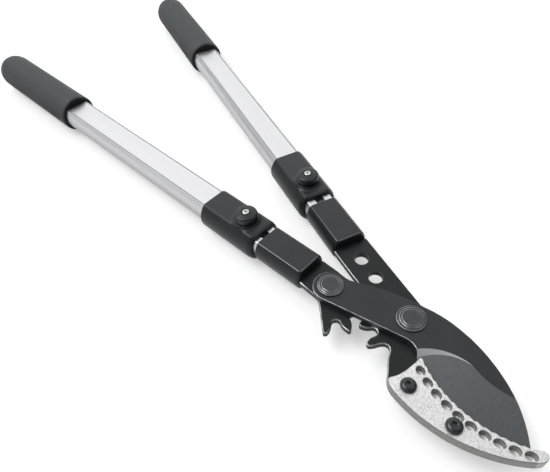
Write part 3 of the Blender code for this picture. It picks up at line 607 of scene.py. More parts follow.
def rubber(name):
    """Foamed rubber: small closed cells, scuffed patches and painted shade towards its underside."""
    t = Look(name, (0.06, 0.067, 0.068))
    cells = t.add("TexVoronoi", {"Vector": t.grain, "Scale": 1100.0}).outputs["Distance"]
    scuffs = t.noise(1.0, (30, 90, 90), detail=4)
    _, soft = t.edges(0.5)
    both = t.weighed(cells, 0.5, t.noise(700, detail=4, roughness=0.65), 0.6)
    colour = t.tint(t.spread(both, 0.3, 0.75), (0.034, 0.039, 0.042), (0.056, 0.063, 0.067))
    colour = t.tint(t.spread(scuffs, 0.5, 0.75, 0.0, 0.35), colour, (0.072, 0.079, 0.083))
    # Painted shade: darker as the surface turns down.
    colour = t.shade(colour, (0.006, 0.008, 0.009), -0.1, 0.75)
    gloss = t.spread(scuffs, 0.3, 0.7, 0.54, 0.66)
    return t.finish(colour, gloss, both, 0.05, soft, Specular_IOR_Level=0.22)


COATED, MOULDED, ANODISED = "black_coated_steel", "black_moulded_plastic", "anodised_aluminium"
SHINY = "bright_plated_steel"
BLACK_STEEL = coated_steel(
    COATED, (0.004, 0.0045, 0.005), (0.010, 0.011, 0.012), (0.42, 0.42, 0.42),
    grain=1000, rough=0.4, specular=0.24
)
BLADE_STEEL = coated_steel(
    "grey_coated_blade_steel", (0.012, 0.0145, 0.016), (0.019, 0.022, 0.024), (0.42, 0.43, 0.43),
    grain=1300, rough=0.38, specular=0.3
)
FASTENER = {"grain": 1500, "rough": 0.3, "specular": 0.5, "width": 0.25}
BOLT_STEEL = coated_steel(
    "bolt_steel", (0.014, 0.017, 0.018), (0.022, 0.025, 0.026), (0.3, 0.31, 0.31), **FASTENER
)
SCREW_STEEL = coated_steel(
    "black_oxide_screw", (0.006, 0.007, 0.008), (0.014, 0.016, 0.018), (0.25, 0.25, 0.25), **FASTENER
)
# Bare steel edges: wear and a painted highlight on the plates' and the blade's edges.
BARE_EDGE_AND_HIGHLIGHT = worn_edge_and_highlight("bare_steel_edge_and_painted_highlight", (0.03, 0.032, 0.034), (0.5, 0.5, 0.5))
# Rubbed steel on the bolt heads' sloped steps and socket rims: wear and a painted highlight.
RING_WEAR_AND_HIGHLIGHT = worn_edge_and_highlight("rubbed_ring_and_painted_highlight", (0.10, 0.105, 0.11), (0.38, 0.39, 0.395))
GROUND = ground_steel(
    "ground_blade_face", (0.066, 0.073, 0.078), (0.096, 0.105, 0.110), metallic=0.6, rough=0.36
)
# A much lighter copy of the ground steel: painted light on the wall of the grinding wheel's step.
LIT_WHEEL_WALL = ground_steel("ground_step_painted_light", (0.46, 0.475, 0.485), (0.60, 0.615, 0.625), metallic=0.45, rough=0.4)
SILVER = cast_silver("sandblasted_silver_steel", (0.45, 0.45, 0.455), (0.75, 0.75, 0.745))
# Darker copies of the jaw's silver: painted shade on its sides and pocket walls.
SHADED_SILVER_SIDE = cast_silver("silver_side_painted_shade", (0.14, 0.14, 0.14), (0.27, 0.27, 0.265))
SHADED_POCKET_WALL = cast_silver("pocket_wall_painted_shade", (0.26, 0.26, 0.26), (0.40, 0.40, 0.395))
# A lighter copy of the jaw's silver: painted light on the pocket floors.
LIT_POCKET_FLOOR = cast_silver("pocket_floor_painted_light", (0.78, 0.78, 0.78), (0.95, 0.95, 0.945))
ALUMINIUM = anodised(ANODISED, (0.54, 0.54, 0.55), (0.62, 0.62, 0.63))
# A near-black copy of the tube's finish: painted shadow in the fine grooves.
GROOVE_SHADOW = anodised("groove_painted_shadow", (0.03, 0.03, 0.032), (0.06, 0.06, 0.063))
BRIGHT = plated(SHINY)
SATIN_BLACK = {"dark": (0.005, 0.0075, 0.009), "light": (0.010, 0.014, 0.0165), "depth": 0.02}
FITTING_BLACK = {"dark": (0.006, 0.009, 0.011), "light": (0.011, 0.015, 0.018), "depth": 0.015}
PLASTIC = moulded(MOULDED, rough=0.36, specular=0.38, **SATIN_BLACK)
# A less reflective copy of the plastic: painted shade on its steep sides.
SHADED_PLASTIC_SIDE = moulded("black_plastic_side_painted_shade", rough=0.38, specular=0.26, **SATIN_BLACK)
FITTING_PLASTIC = moulded("end_fitting_plastic", rough=0.3, specular=0.36, **FITTING_BLACK)
# A less reflective copy of the fitting plastic: painted shade on its steep sides.
SHADED_FITTING_SIDE = moulded("end_fitting_side_painted_shade", rough=0.32, specular=0.26, **FITTING_BLACK)
# A lighter, glossier copy of the plastic: painted highlight along the rounded edges of the flats.
PLASTIC_EDGE_HIGHLIGHT = moulded(
    "plastic_edge_painted_highlight", (0.03, 0.033, 0.035), (0.06, 0.065, 0.068), rough=0.2, specular=0.7, depth=0.008
)
RUBBER = rubber("grey_green_rubber_grip")


# ----- the plates and the gear between them
def involute(angle):
    return tan(angle) - angle


def half_tooth(radius, shift):
    """Half of a tooth's width at a radius, in degrees."""
    pressure = radians(PRESSURE_ANGLE)
    base = PITCH_RADIUS * cos(pressure)
    here = involute(acos(base / radius)) if radius > base else 0
    at_pitch = (shift * tan(pressure) - BACKLASH / 4) / PITCH_RADIUS
    return TOOTH_PITCH / 4 + degrees(at_pitch + involute(pressure) - here)


def flank(gear, angle, side):
    """One side of a tooth from its root to its rounded tip."""
    centre, shift, root, tip = gear
    foot = half_tooth(root, shift)
    points = [(root + rise, foot + more) for rise, more in ROOT_FILLET]
    for share in (0.35, 0.5, 0.65, 0.78):
        radius = root + share * (tip - root)
        points.append((radius, half_tooth(radius, shift)))
    shoulder = tip - 1.4
    crown = half_tooth(shoulder, shift)
    points += [(shoulder, crown * 0.96), (tip - 0.5, crown * 0.74), (tip, crown * 0.34)]
    return [at(centre, radius, angle + side * spread) for radius, spread in points]


def tooth(gear, angle):
    return flank(gear, angle, -1) + flank(gear, angle, 1)[::-1]


def handle_plate(outline):
    """A plate of the handles, in coated steel with its edges rubbed bare."""
    outline = filleted(outline, 1.2, steps=3)
    return plate(outline, PLATE_BOTTOM, PLATE_TOP, BLACK_STEEL, BARE_EDGE_AND_HIGHLIGHT, upper=0.7, lower=0.4)


def plate_hole(centre, radius):
    return drill(centre, radius, PLATE_BOTTOM, PLATE_TOP, BLACK_STEEL)


def lever_plate():
    """The left handle's plate: its tang, an end tooth, two whole teeth and the round end."""
    nearest = LINE_OF_CENTRES - MESH_PHASE
    last = nearest - 2 * TOOTH_PITCH
    outline = handle_points("left", (TANG_END, -HALF_TANG), (SHOULDER, -HALF_TANG), (SHOULDER, -14.5))
    outline += [(-60.5, -39.4), (-57.0, -40.6)]
    outline += flank(LEVER_GEAR, last, -1)[-2:]
    outline += [at(LEVER_PIVOT, radius, last + more) for radius, more in LEVER_END_TOOTH[::-1]]
    outline += flank(LEVER_GEAR, last, 1)[3::-1]
    outline += tooth(LEVER_GEAR, nearest - TOOTH_PITCH)
    outline += tooth(LEVER_GEAR, nearest)
    outline += arc(LEVER_PIVOT, 17.5, 46, 90 + HANDLE["left"][2], 14)
    outline += handle_points(
        "left", (-72, 14.05), (SHOULDER, 14.6), (SHOULDER, HALF_TANG), (TANG_END, HALF_TANG)
    )
    made = handle_plate(outline)
    pin_hole = plate_hole(handle_point("left", TANG_PIN, 0), PIN_HOLE_RADIUS)
    cut(made, plate_hole(LEVER_PIVOT, BORE_RADIUS), pin_hole)
    complete(made, "lever", COATED, "lever_plate")


def hook_plate():
    """The right handle's plate: its tang, teeth, round end and the hook behind the jaw."""
    first = LINE_OF_CENTRES + 180 + MESH_PHASE - TOOTH_PITCH / 2
    last = first + 2 * TOOTH_PITCH
    outline = handle_points(
        "right", (TANG_END, -HALF_TANG), (SHOULDER, -HALF_TANG), (SHOULDER, -15.4), (-58, -15.0), (-38, -14.0)
    )
    outline += flank(HOOK_GEAR, first, -1)[-2:]
    outline += flank(HOOK_GEAR, first, 1)[::-1]
    outline += tooth(HOOK_GEAR, first + TOOTH_PITCH)
    outline += flank(HOOK_GEAR, last, -1) + flank(HOOK_GEAR, last, 1)[:-4:-1]
    outline += [at(MAIN_PIVOT, radius, last + more) for radius, more in HOOK_END_TOOTH]
    outline += [(6.2, -26.3), (8.2, -28.4), (10.9, -32.5), (21.8, -44.0), (24.3, -46.2)]
    outline += arc(SPINE_CENTRE, HOOK_OUTER_RADIUS, -97.2, -45, 36)
    outline += [(112.4, -16.0), (111.0, -13.4)]
    outline += arc(ARC_CENTRE, HOOK_RADIUS, -57.5, -117, 40)
    outline += [(20.6, -9.6)]
    outline += arc(MAIN_PIVOT, 16.3, -15, 90 + HANDLE["right"][2], 24)
    outline += handle_points("right", (SHOULDER, 15.4), (SHOULDER, HALF_TANG), (TANG_END, HALF_TANG))
    made = handle_plate(outline)
    # Faces past the covered edge go back to the plain coating, without the wear and painted highlight.
    for face in made.data.polygons:
        if face.center.x > COVERED_EDGE / 1000:
            face.material_index = 0
    holes = [(MAIN_PIVOT, BORE_RADIUS), (handle_point("right", TANG_PIN, 0), PIN_HOLE_RADIUS)]
    holes += [(handle_point("right", place, 0.4), TANG_HOLE_RADIUS) for place in TANG_HOLES]
    holes += [(centre, SCREW_SHANK_RADIUS + GAP) for centre in JAW_SCREWS]
    cut(made, *[plate_hole(*hole) for hole in holes])
    complete(made, "hook", COATED, "hook_plate")


# ----- the blade
def blade():
    """The blade, with a hollow grind cut by a cone as far as the grinding wheel's step."""
    lower = [(8.2, -14.7), (11.0, -13.8), (14.0, -13.4), (17.6, -13.8), (21.4, -15.3)]
    edge = arc(ARC_CENTRE, EDGE_RADIUS, -114, -55.2, 64) + [at(ARC_CENTRE, EDGE_RADIUS, -54.3)]
    spine = arc((44.2, -78.0), 96.0, 44.7, 63, 18) + arc((31.8, -98.9), 120.3, 65.5, 88, 30)
    spine += arc((30.0, -64.5), 85.7, 92, 111, 18)
    upper = [(-9.0, 12.6), (-17.0, 9.4), (-30.3, 3.5), (-42.0, -3.9), (-50.0, -9.0), (-53.0, -11.0)]
    lobe = arc(LEVER_PIVOT, LOBE_RADIUS, 88, 291.9, 48)
    outline = filleted(lower + edge + spine + upper + lobe, 2.0, steps=3)
    made = plate(outline, BLADE_BOTTOM, BLADE_TOP, BLADE_STEEL, BARE_EDGE_AND_HIGHLIGHT, upper=0.45, lower=0.3)

    slope = (BLADE_TOP - BLADE_BOTTOM - EDGE_THICKNESS) / (EDGE_RADIUS - GRIND_RADIUS)
    run = 20.0
    near, far, above = GRIND_RADIUS - run, EDGE_RADIUS + run, BLADE_TOP + run
    section = [(near, BLADE_TOP + slope * run), (far, BLADE_TOP - slope * (far - GRIND_RADIUS))]
    section += [(far, above), (near, above)]
    first, last = -30, -140
    rings = []
    for angle in range(first, last - 1, -1):
        rings.append([(*at(ARC_CENTRE, radius, angle), height) for radius, height in section])
    cone = shell(rings, GROUND)
    depth, rise = 9.0, 2.0
    profile = [(WHEEL_RADIUS - depth, BLADE_TOP - depth), (WHEEL_RADIUS + rise, BLADE_TOP + rise)]
    # The step's wall carries the painted light.
    wheel = turned(profile, LIT_WHEEL_WALL, spot(WHEEL_CENTRE), steps=360)
    reach = [ARC_CENTRE] + arc(ARC_CENTRE, 130, WHEEL_TOUCH, first, 6)
    front = prism(reach, BLADE_TOP - depth, BLADE_TOP + 2 * rise, GROUND)
    cut(wheel, front, operation="UNION")
    cut(cone, wheel, operation="INTERSECT")
    size = (BORE_RADIUS, BLADE_BOTTOM, BLADE_TOP, BLADE_STEEL)
    cut(made, cone, drill(MAIN_PIVOT, *size), drill(LEVER_PIVOT, *size))
    complete(made, "blade", "grey_coated_blade_steel", "blade_plate", angle=8, name="blade")


# ----- the jaw
def saw_lip():
    """The jaw's lip: teeth along the cutting arc, each one a short rise and a long fall."""
    pitch = (SAW_END - SAW_START) / SAW_TEETH
    return [
        at(ARC_CENTRE, LIP_RADIUS + SAW_DEPTH * rise, SAW_START + (k + share) * pitch)
        for k in range(SAW_TEETH) for share, rise in ((0, 0.5), (0.4, 0), (0.78, -0.5))
    ]


def pocket(number):
    """The cutter for one of the blind oval pockets along the lip."""
    angle = FIRST_POCKET + (LAST_POCKET - FIRST_POCKET) * number / (POCKETS - 1)
    x, y = at(ARC_CENTRE, POCKET_RADIUS, angle)
    turn = radians(angle + 90)
    c, s = cos(turn), sin(turn)
    rings = []
    for height, more in POCKET_RINGS:
        oval = [((POCKET_HALF_LENGTH + more) * u, (POCKET_HALF_WIDTH + more) * v) for u, v in circle(1, 40)]
        rings.append([(x + u * c - v * s, y + u * s + v * c, JAW_TOP + height) for u, v in oval])
    return shell(rings, SILVER)


def jaw():
    """The silver jaw: pockets, a rebate for the blade underneath, painted shade on its steep faces and
    painted light on its pocket floors.
    """
    outer = arc(SPINE_CENTRE, JAW_OUTER_RADIUS, -94.5, -40.6, 60)
    beak = [(120.4, -12.0), (120.9, -9.4), (119.8, -6.8), (118.0, -5.6), (116.0, -6.2), (113.6, -8.4)]
    heel = [(27.0, -19.3), (27.7, -25.0), (27.9, -34.0), (27.3, -40.0), (26.2, -43.2), (25.0, -45.8)]
    heel += [(25.2, -47.4), (26.4, -48.6), (28.6, -49.8)]
    outline = filleted(outer + beak + saw_lip() + heel, 0.9, steps=3)
    made = plate(outline, JAW_BOTTOM, JAW_TOP, SILVER, SILVER, upper=0.45, lower=0.3)
    rebate = arc(ARC_CENTRE, EDGE_RADIUS + 0.6, -124, -51, 60) + arc(ARC_CENTRE, 76, -51, -124, 60)
    cut(made, prism(rebate, JAW_BOTTOM - 2, JAW_BOTTOM + REBATE_DEPTH, SILVER))
    cutters = [pocket(number) for number in range(POCKETS)]
    cutters += [drill(centre, SCREW_SHANK_RADIUS + GAP, JAW_BOTTOM, JAW_TOP, SILVER) for centre in JAW_SCREWS]
    cut(made, *cutters)

    def steep(face):
        return abs(face.normal.z) < 0.6

    def near_lip(face):
        x, y, _ = face.center * 1000
        return hypot(x - ARC_CENTRE[0], y - ARC_CENTRE[1]) < POCKET_RADIUS + 3.2

    # Painted shade on the steep faces, less deep in the pockets than on the outside.
    paint(made, SHADED_SILVER_SIDE, lambda face: steep(face) and not near_lip(face))
    paint(made, SHADED_POCKET_WALL, lambda face: steep(face) and near_lip(face))
    # Painted light on the pocket floors.
    paint(made, LIT_POCKET_FLOOR, lambda face: face.normal.z > 0.6 and face.center.z * 1000 < JAW_TOP - 4)
    complete(made, "hook", "sandblasted_silver_steel", "serrated_jaw", angle=30, name="jaw")


# ----- bolts, screws, washers and nuts
def nut(node, body, place, across, bottom, height, bore_radius):
    """A hexagon nut with its corners turned off and the edges of its bore eased."""
    chamfer = 0.06 * across
    ease, easing = 0.4, 1.06
    corners = filleted(hexagon(across, 60), 0.2, steps=1)
    limit = across / 2 * 1.03
    clipped = []
    for x, y in corners:
        share = min(1, limit / hypot(x, y))
        clipped.append((x * share, y * share))
    hole = circle(bore_radius, len(corners))
    eased, top = scaled(hole, easing), bottom + height
    rings = [lifted(clipped, bottom), lifted(corners, bottom + chamfer), lifted(corners, top - chamfer)]
    rings += [lifted(clipped, top), lifted(eased, top), lifted(hole, top - ease)]
    rings += [lifted(hole, bottom + ease), lifted(eased, bottom)]
    complete(shell(rings, BRIGHT, closed=True, place=place), body, SHINY, node)


def pivot(name, centre, flange):
    """A pivot's bolt with its stepped head, and the washer and nut underneath."""
    top = PLATE_BOTTOM - GAP  # of the washer
    bottom = top - WASHER_THICKNESS
    end = heights(f"{name}_bolt")[0]
    profile = [
        (SHANK_RADIUS - 0.6, end), (SHANK_RADIUS, end + 0.6), (SHANK_RADIUS, -HEAD_HEIGHT),
        (flange, -HEAD_HEIGHT), (flange, -1.4), (flange - 0.5, -1.0), (9.1, -0.95), (8.9, -0.5),
        (8.5, -0.3), (7.2, -0.3), (6.9, 0), (6.2, 0)
    ]
    bolt = turned(profile, BOLT_STEEL, spot(centre), steps=128, soft=0.15)
    # Wear and painted highlight on the head's sloped steps.
    paint_slopes(bolt, RING_WEAR_AND_HIGHLIGHT)
    complete(bolt, "blade", COATED, f"{name}_bolt", angle=30)
    ring = [(BORE_RADIUS, bottom), (WASHER_RADIUS, bottom), (WASHER_RADIUS, top), (BORE_RADIUS, top)]
    washer = turned(ring, BRIGHT, spot(centre), bored=True, soft=0.25)
    complete(washer, "blade", SHINY, f"{name}_washer")
    size = (NUT_ACROSS, bottom - GAP - NUT_HEIGHT, NUT_HEIGHT, BORE_RADIUS)
    nut(f"{name}_nut", "blade", spot(centre), *size)


def jaw_fastener(number, centre):
    """A button-head socket screw that holds the jaw on the hook plate, and its nut."""
    screw_name = f"jaw_screw_{number}"
    end = heights(screw_name)[0]
    under = JAW_TOP + GAP
    top = under + SCREW_HEAD_HEIGHT
    profile = [
        (SCREW_SHANK_RADIUS - 0.4, end), (SCREW_SHANK_RADIUS, end + 0.4), (SCREW_SHANK_RADIUS, under),
        (SCREW_HEAD_RADIUS, under), (SCREW_HEAD_RADIUS, under + 0.9), (5.3, under + 1.9),
        (4.5, under + 2.7), (3.2, top), (2.4, top)
    ]
    rings = rounds(filleted(profile, 0.5, closed=False, steps=3), 60)
    socket = hexagon(SOCKET_ACROSS, 60)
    rings += [lifted(scaled(socket, 1.12), top), lifted(socket, top - 0.3), lifted(socket, top - 2)]
    screw = shell(rings, SCREW_STEEL, place=spot(centre))
    rim = SOCKET_RIM / 1000
    # Wear and painted highlight on the socket's rim.
    paint(screw, RING_WEAR_AND_HIGHLIGHT, lambda face: 0.2 < face.normal.z < 0.97 and face.center.xy.length < rim)
    complete(screw, "hook", COATED, screw_name)
    size = (JAW_NUT_ACROSS, PLATE_BOTTOM - GAP - JAW_NUT_HEIGHT, JAW_NUT_HEIGHT, SCREW_SHANK_RADIUS + GAP)
    nut(f"jaw_nut_{number}", "hook", spot(centre), *size)


# ----- the handles
def end_fitting(side):
    """The end fitting, which joins a tang to the inner tube, and its two pins."""
    place, body = HANDLE[side][0], PLATE_BODY[side]

    def ring(x, inwards):
        return upright(flatted(FITTING_RADIUS - inwards, FITTING_FLAT - 0.8 * inwards, soft=2.2), x)

    rings = [ring(FITTING_REAR, 0.9), ring(FITTING_REAR + 0.3, 0.35), ring(FITTING_REAR + 0.9, 0)]
    rings += [ring(FITTING_FRONT - short, inwards) for short, inwards in quarter(3.0, 2.2, 9)]
    made = shell(rings, FITTING_PLASTIC, place=place)
    slot = rectangle(HALF_TANG + GAP, (PLATE_TOP - PLATE_BOTTOM) / 2 + GAP)
    socket = flatted(*ROUND_THE_INNER, soft=0.6)
    look = FITTING_PLASTIC
    cutters = [along(socket, FITTING_REAR - PAST, INNER_FRONT + GAP, look, place)]
    cutters.append(along(slot, TANG_END - GAP, FITTING_FRONT + PAST, look, place))
    for x, top in ((TANG_PIN, 6.3), (TUBE_PIN, 0)):
        cutters.append(bore(PIN_HOLE_RADIUS, -14, top, look, place @ spot((x, 0))))
    cut(made, *cutters)
    # Painted shade on the fitting's steep sides.
    paint_slopes(made, SHADED_FITTING_SIDE, -2, 0.8)
    # Painted highlight on the rounded edges of the flats.
    paint_slopes(made, PLASTIC_EDGE_HIGHLIGHT, 0.8, 0.965)
    complete(made, body, MOULDED, f"{side}_end_fitting", angle=40)
    for name, x, top in (("tang_pin", TANG_PIN, 6.0), ("tube_pin", TUBE_PIN, -6.0)):
        profile = [
            (0.4, PIN_FOOT), (PIN_RADIUS - 0.3, PIN_FOOT), (PIN_RADIUS, PIN_FOOT + 0.4),
            (PIN_RADIUS, top - 0.3), (PIN_RADIUS - 0.3, top)
        ]
        pin = turned(profile, BRIGHT, place @ spot((x, 0)), steps=40)
        complete(pin, body, SHINY, f"{side}_{name}")


def inner_tube(side):
    """The inner tube, with a channel in its top for the clamp screw."""
    place = HANDLE[side][0]
    section = flatted(*INNER_SECTION, soft=0.7)
    start, end = INNER_REAR - PAST, INNER_FRONT + PAST
    made = along(section, INNER_REAR, INNER_FRONT, ALUMINIUM, place)
    cut(
        made,
        along(CHANNEL_SECTION, start, end, ALUMINIUM, place),
        along(flatted(*INNER_BORE, soft=0.5), start, end, ALUMINIUM, place),
        bore(PIN_HOLE_RADIUS, -14, 0, ALUMINIUM, place @ spot((TUBE_PIN, 0))),
    )
    complete(made, PLATE_BODY[side], ANODISED, f"{side}_inner_tube", angle=30)


def inner_guide(side):
    """The guide ring behind the inner tube's end, with a plug that enters the tube."""
    ring_front, plug_front = INNER_REAR - GAP, INNER_REAR + 14
    rings = []
    for x, section, inwards in (
        (ring_front - 6, GUIDE_RING, 0.4), (ring_front - 5.6, GUIDE_RING, 0),
        (ring_front - 0.3, GUIDE_RING, 0), (ring_front, GUIDE_RING, 0.3), (ring_front, GUIDE_PLUG, 0),
        (plug_front - 0.6, GUIDE_PLUG, 0), (plug_front, GUIDE_PLUG, 0.6)
    ):
        rings.append(upright(flatted(*(size - inwards for size in section), soft=0.6), x))
    made = shell(rings, PLASTIC, place=HANDLE[side][0])
    complete(made, PLATE_BODY[side], MOULDED, f"{side}_inner_guide", angle=40)


def knob_place(side):
    """The matrix of the clamp knob's axis."""
    return HANDLE[side][0] @ spot((COLLAR_FRONT[side] - KNOB_SETBACK, 0))


def outer_tube(side, front):
    """The outer tube, with a fine groove along each edge of its flats."""
    place = HANDLE[side][0]
    edge = sqrt(TUBE_RADIUS**2 - TUBE_FLAT**2)
    outline = []
    for y, z in flatted(TUBE_RADIUS, TUBE_FLAT, soft=0):
        right, up = (1 if y > 0 else -1), (1 if z > 0 else -1)
        corner = [(y, z - 0.12 * up)]
        corner += [(right * (edge - across), up * (TUBE_FLAT - deep)) for across, deep in GROOVE_SECTION]
        if abs(abs(z) - TUBE_FLAT) > 0.01:
            corner = [(y, z)]
        outline += corner if right == up else corner[::-1]
    rear, face = front - TUBE_END_SETBACK, front - TUBE_SETBACK
    made = along(outline, rear, face, ALUMINIUM, place)
    cut(
        made,
        along(flatted(*TUBE_BORE, soft=0.5), rear - PAST, face + PAST, ALUMINIUM, place),
        bore(CLAMP_BORE_RADIUS + GAP, 0, 14, ALUMINIUM, knob_place(side)),
    )

    def in_groove(face):
        _, y, z = face.center * 1000
        return edge - 1.02 < abs(y) < edge - 0.28 and TUBE_FLAT - 0.6 < abs(z) < TUBE_FLAT - 0.01

    # The groove's faces get the painted shadow.
    paint(made, GROOVE_SHADOW, in_groove)
    complete(made, f"{side}_sleeve", ANODISED, f"{side}_outer_tube", angle=30)


def collar(side, front):
    """The clamp collar: a large front rounding, and a boss that flows into the top."""
    place = HANDLE[side][0]
    middle = knob_place(side)
    rear = front - COLLAR_LENGTH
    rear_rounding, front_rounding = 1.3, 5.0

    def section(inwards):
        radius, flat = COLLAR_RADIUS - inwards, COLLAR_FLAT - 0.6 * inwards
        return flatted(radius, flat, drop=COLLAR_DROP, soft=4.5, steps=24)

    top = section(0)

    def height_at(y):
        """The collar's height at a distance to the side of its middle."""
        best = -99.0
        for (y1, z1), (y2, z2) in zip(top, top[1:] + top[:1]):
            if min(y1, y2) <= y <= max(y1, y2) and abs(y1 - y2) > 1e-9:
                best = max(best, z1 + (z2 - z1) * (y - y1) / (y2 - y1))
        return best

    rows = [(rear, 1.1), (rear + 0.25, 0.5), (rear + 0.7, 0.15), (rear + rear_rounding, 0)]
    straight = COLLAR_LENGTH - rear_rounding - front_rounding
    rows += [(rear + rear_rounding + straight * k / 4, 0) for k in (1, 2, 3)]
    rows += [(front - short, inwards) for short, inwards in quarter(front_rounding, 2.5, 10)]
    made = shell([upright(section(inwards), x) for x, inwards in rows], PLASTIC, place=place)

    rings = [lifted(circle(BOSS_RADIUS + BOSS_SKIRT, 96), 4.0)]
    for k in range(15):
        share = k / 14
        rise = 1 - sqrt(max(0.0, 1 - share**2))
        level = []
        for x, y in circle(BOSS_RADIUS + BOSS_SKIRT - (BOSS_SKIRT + 0.5) * share, 96):
            ground = height_at(y) - 0.06
            level.append((x, y, ground + (BOSS_TOP - 0.35 - ground) * rise))
        rings.append(level)
    rings += rounds([(BOSS_RADIUS - 0.75, BOSS_TOP - 0.08), (BOSS_RADIUS - 1.2, BOSS_TOP)], 96)
    cut(made, shell(rings, PLASTIC, place=middle), operation="UNION")

    step = front - TUBE_SETBACK + GAP
    inside, throat = flatted(*ROUND_THE_TUBE, soft=0.6), flatted(*ROUND_THE_INNER, soft=0.6)
    cut(
        made,
        along(inside, rear - PAST, step, PLASTIC, place),
        along(throat, step - PAST, front + PAST, PLASTIC, place),
        prism(hexagon(CLAMP_NUT_ACROSS + 2 * GAP), 10, BOSS_TOP - 0.6, PLASTIC, middle),
        bore(CLAMP_BORE_RADIUS, 11, BOSS_TOP + 2, PLASTIC, middle),
    )
    # Painted shade on the collar's steep sides.
    paint_slopes(made, SHADED_PLASTIC_SIDE, -2, 0.7)
    complete(made, f"{side}_sleeve", MOULDED, f"{side}_collar", angle=42)
    size = (CLAMP_NUT_ACROSS, CLAMP_NUT_FOOT, CLAMP_NUT_HEIGHT, CLAMP_BORE_RADIUS)
    nut(f"{side}_clamp_nut", f"{side}_sleeve", middle, *size)


def clamp_knob(side):
    """The round clamp knob, dished on top, and the small socket screw that turns with it."""
    body = f"{side}_knob"
    middle = knob_place(side)
    foot = BOSS_TOP + GAP
    profile = [(radius, foot + rise) for radius, rise in (
        (CLAMP_BORE_RADIUS, 0), (KNOB_RADIUS - 0.5, 0), (KNOB_RADIUS, 0.5), (KNOB_RADIUS, 4.6),
        (KNOB_RADIUS - 0.5, 5.9), (KNOB_RADIUS - 1.6, 6.6), (6.4, 6.9), (5.4, 7.2), (4.2, 7.2), (3.7, 6.9),
        (3.5, 6.3), (CLAMP_BORE_RADIUS, 6.3)
    )]
    knob = turned(profile, PLASTIC, middle, bored=True, soft=0.5)
    complete(knob, body, MOULDED, f"{side}_clamp_knob")
    under, tip = foot + 6.6, 5.9
    screw = [
        (CLAMP_SHANK_RADIUS - 0.4, tip), (CLAMP_SHANK_RADIUS, tip + 0.4), (CLAMP_SHANK_RADIUS, under),
        (CLAMP_HEAD_RADIUS, under), (CLAMP_HEAD_RADIUS, under + 0.8),
        (CLAMP_HEAD_RADIUS - 0.4, under + 1.2), (1.7, under + 1.2)
    ]
    socket = hexagon(CLAMP_SOCKET_ACROSS, 48)
    rings = rounds(filleted(screw, 0.25, closed=False, steps=2), 48)
    rings += [lifted(socket, under + 1.1), lifted(socket, under + 0.1)]
    complete(shell(rings, BRIGHT, place=middle), body, SHINY, f"{side}_clamp_screw")


def grip(side, front):
    """The soft grip: a rolled lip, a slight taper with a waist, and a domed end."""
    place = HANDLE[side][0]
    lip = 2.6
    lip_steps = ((0, -2.0), (0.15, -1.4), (0.6, -0.7), (1.4, -0.2), (lip, 0))
    profile = [(GRIP_SETBACK + back, GRIP_RADIUS + more) for back, more in lip_steps]
    length = DOME_SETBACK - GRIP_SETBACK - lip
    for k in range(1, 17):
        share = k / 16
        radius = GRIP_RADIUS - GRIP_TAPER * share - GRIP_WAIST * sin(radians(180 * share))
        profile.append((GRIP_SETBACK + lip + length * share, radius))
    depth = GRIP_END_SETBACK - DOME_SETBACK
    for turn in range(6, 90, 6):
        radius = (GRIP_RADIUS - GRIP_TAPER) * cos(radians(turn))
        profile.append((DOME_SETBACK + depth * sin(radians(turn)), radius))
    profile.append((GRIP_END_SETBACK - 0.01, 0.4))
    rings = [upright(circle(radius, 72), front - setback) for setback, radius in profile]
    made = shell(rings, RUBBER, place=place)
    reach = (front - TUBE_END_SETBACK - GAP, front - GRIP_SETBACK + PAST)
    cut(made, along(flatted(*ROUND_THE_TUBE, soft=0.6), *reach, RUBBER, place))
    complete(made, f"{side}_sleeve", "grey_green_rubber_grip", f"{side}_grip", angle=50)


blade()
lever_plate()
hook_plate()
jaw()
pivot("main_pivot", MAIN_PIVOT, MAIN_FLANGE_RADIUS)
pivot("lever_pivot", LEVER_PIVOT, LEVER_FLANGE_RADIUS)
for number, centre in enumerate(JAW_SCREWS, 1):
    jaw_fastener(number, centre)
for side in SIDES:
    front = COLLAR_FRONT[side]
    end_fitting(side)
    inner_tube(side)
    outer_tube(side, front)
    collar(side, front)
    clamp_knob(side)
    grip(side, front)
    inner_guide(side)


# ----- floor, light and camera
FLOOR_HALF_WIDTH, FLOOR_THICKNESS = 6000, 20
FLOOR_GLOW = 0.42  # fills the floor's shadows, as a light table does
AMBIENT = 0.25
# Soft lights in the world: direction, the cosines where each one starts and is full, and its strength
LOBES = (
    ((-0.76, 0.45, 0.47), 0.55, 0.85, 1.15),
    ((-0.38, -0.36, 0.85), 0.93, 0.985, 7.0),
    ((-0.34, -0.84, 0.42), 0.6, 0.92, 0.55),
)
LAMP_PLACE, LAMP_AIM = Vector((0.5, 0.7, 1.4)), Vector((-0.2, 0, 0))
CAMERA_PLACE = (0.13005, -0.19115, 0.336)
CAMERA_RIGHT = Vector((0.58084, 0.81190, -0.05861))
CAMERA_DOWN = Vector((0.58317, -0.46528, -0.66591))
CAMERA_AHEAD = Vector((-0.56792, 0.35261, -0.74373))


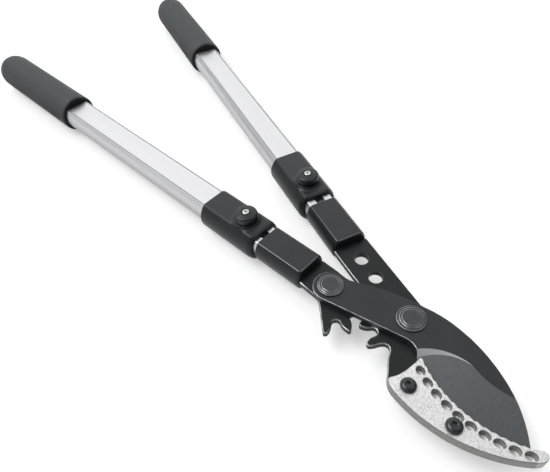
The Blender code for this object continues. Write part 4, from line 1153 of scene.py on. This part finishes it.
def floor():
    """The plain pale floor under the object."""
    t = Look("pale_floor", (0.9, 0.9, 0.9))
    paper = t.noise(40, detail=4)
    colour = t.tint(t.spread(paper, 0.3, 0.7), (0.62, 0.62, 0.62), (0.64, 0.64, 0.64))
    rough = t.spread(paper, 0.3, 0.7, 0.85, 0.95)
    glow = {"Emission_Color": (1, 1, 1, 1), "Emission_Strength": FLOOR_GLOW}
    t.finish(colour, rough, paper, 0.01, t.normal, Specular_IOR_Level=0.2, **glow)
    under = min(heights(node)[0] for node in frame["nodes"]) - 0.1
    made = prism(rectangle(FLOOR_HALF_WIDTH, FLOOR_HALF_WIDTH), under - FLOOR_THICKNESS, under, t.material)
    made.name = "studio_floor"


def world():
    """A dim even world with the soft lights on it."""
    studio = bpy.data.worlds.new("studio")
    SCENE.world = studio
    t = Nodes(studio)
    background = t.nodes["Background"]
    background.inputs["Color"].default_value = (1, 1, 1, 1)
    where = t.add("TexCoord").outputs["Generated"]
    total = AMBIENT
    for direction, start, end, strength in LOBES:
        toward = t.add("VectorMath", {0: where, 1: Vector(direction).normalized()}, operation="DOT_PRODUCT")
        total = t.math(t.spread(toward.outputs["Value"], start, end, 0.0, strength), total, "ADD")
    t.links.new(total, background.inputs["Strength"])


def lamp():
    """A weak round lamp for the soft shadow."""
    light = bpy.data.lights.new("soft_key", "AREA")
    light.shape = "DISK"
    light.size = 1.2
    light.energy = 3
    made = bpy.data.objects.new("soft_key", light)
    made.location = LAMP_PLACE
    made.rotation_euler = (LAMP_AIM - LAMP_PLACE).to_track_quat("-Z", "Y").to_euler()
    SCENE.collection.objects.link(made)


def camera():
    """The camera, set by its place and its own three directions."""
    lens = bpy.data.cameras.new("camera")
    lens.lens = 35.25
    lens.sensor_width = 36
    lens.sensor_fit = "HORIZONTAL"
    lens.clip_start = 0.01
    lens.clip_end = 20
    made = bpy.data.objects.new("camera", lens)
    turn = Matrix((CAMERA_RIGHT, -CAMERA_DOWN, -CAMERA_AHEAD)).transposed().to_4x4()
    made.matrix_world = Matrix.Translation(CAMERA_PLACE) @ turn
    SCENE.collection.objects.link(made)
    SCENE.camera = made


floor()
world()
lamp()
camera()
SCENE.view_settings.view_transform = "Standard"
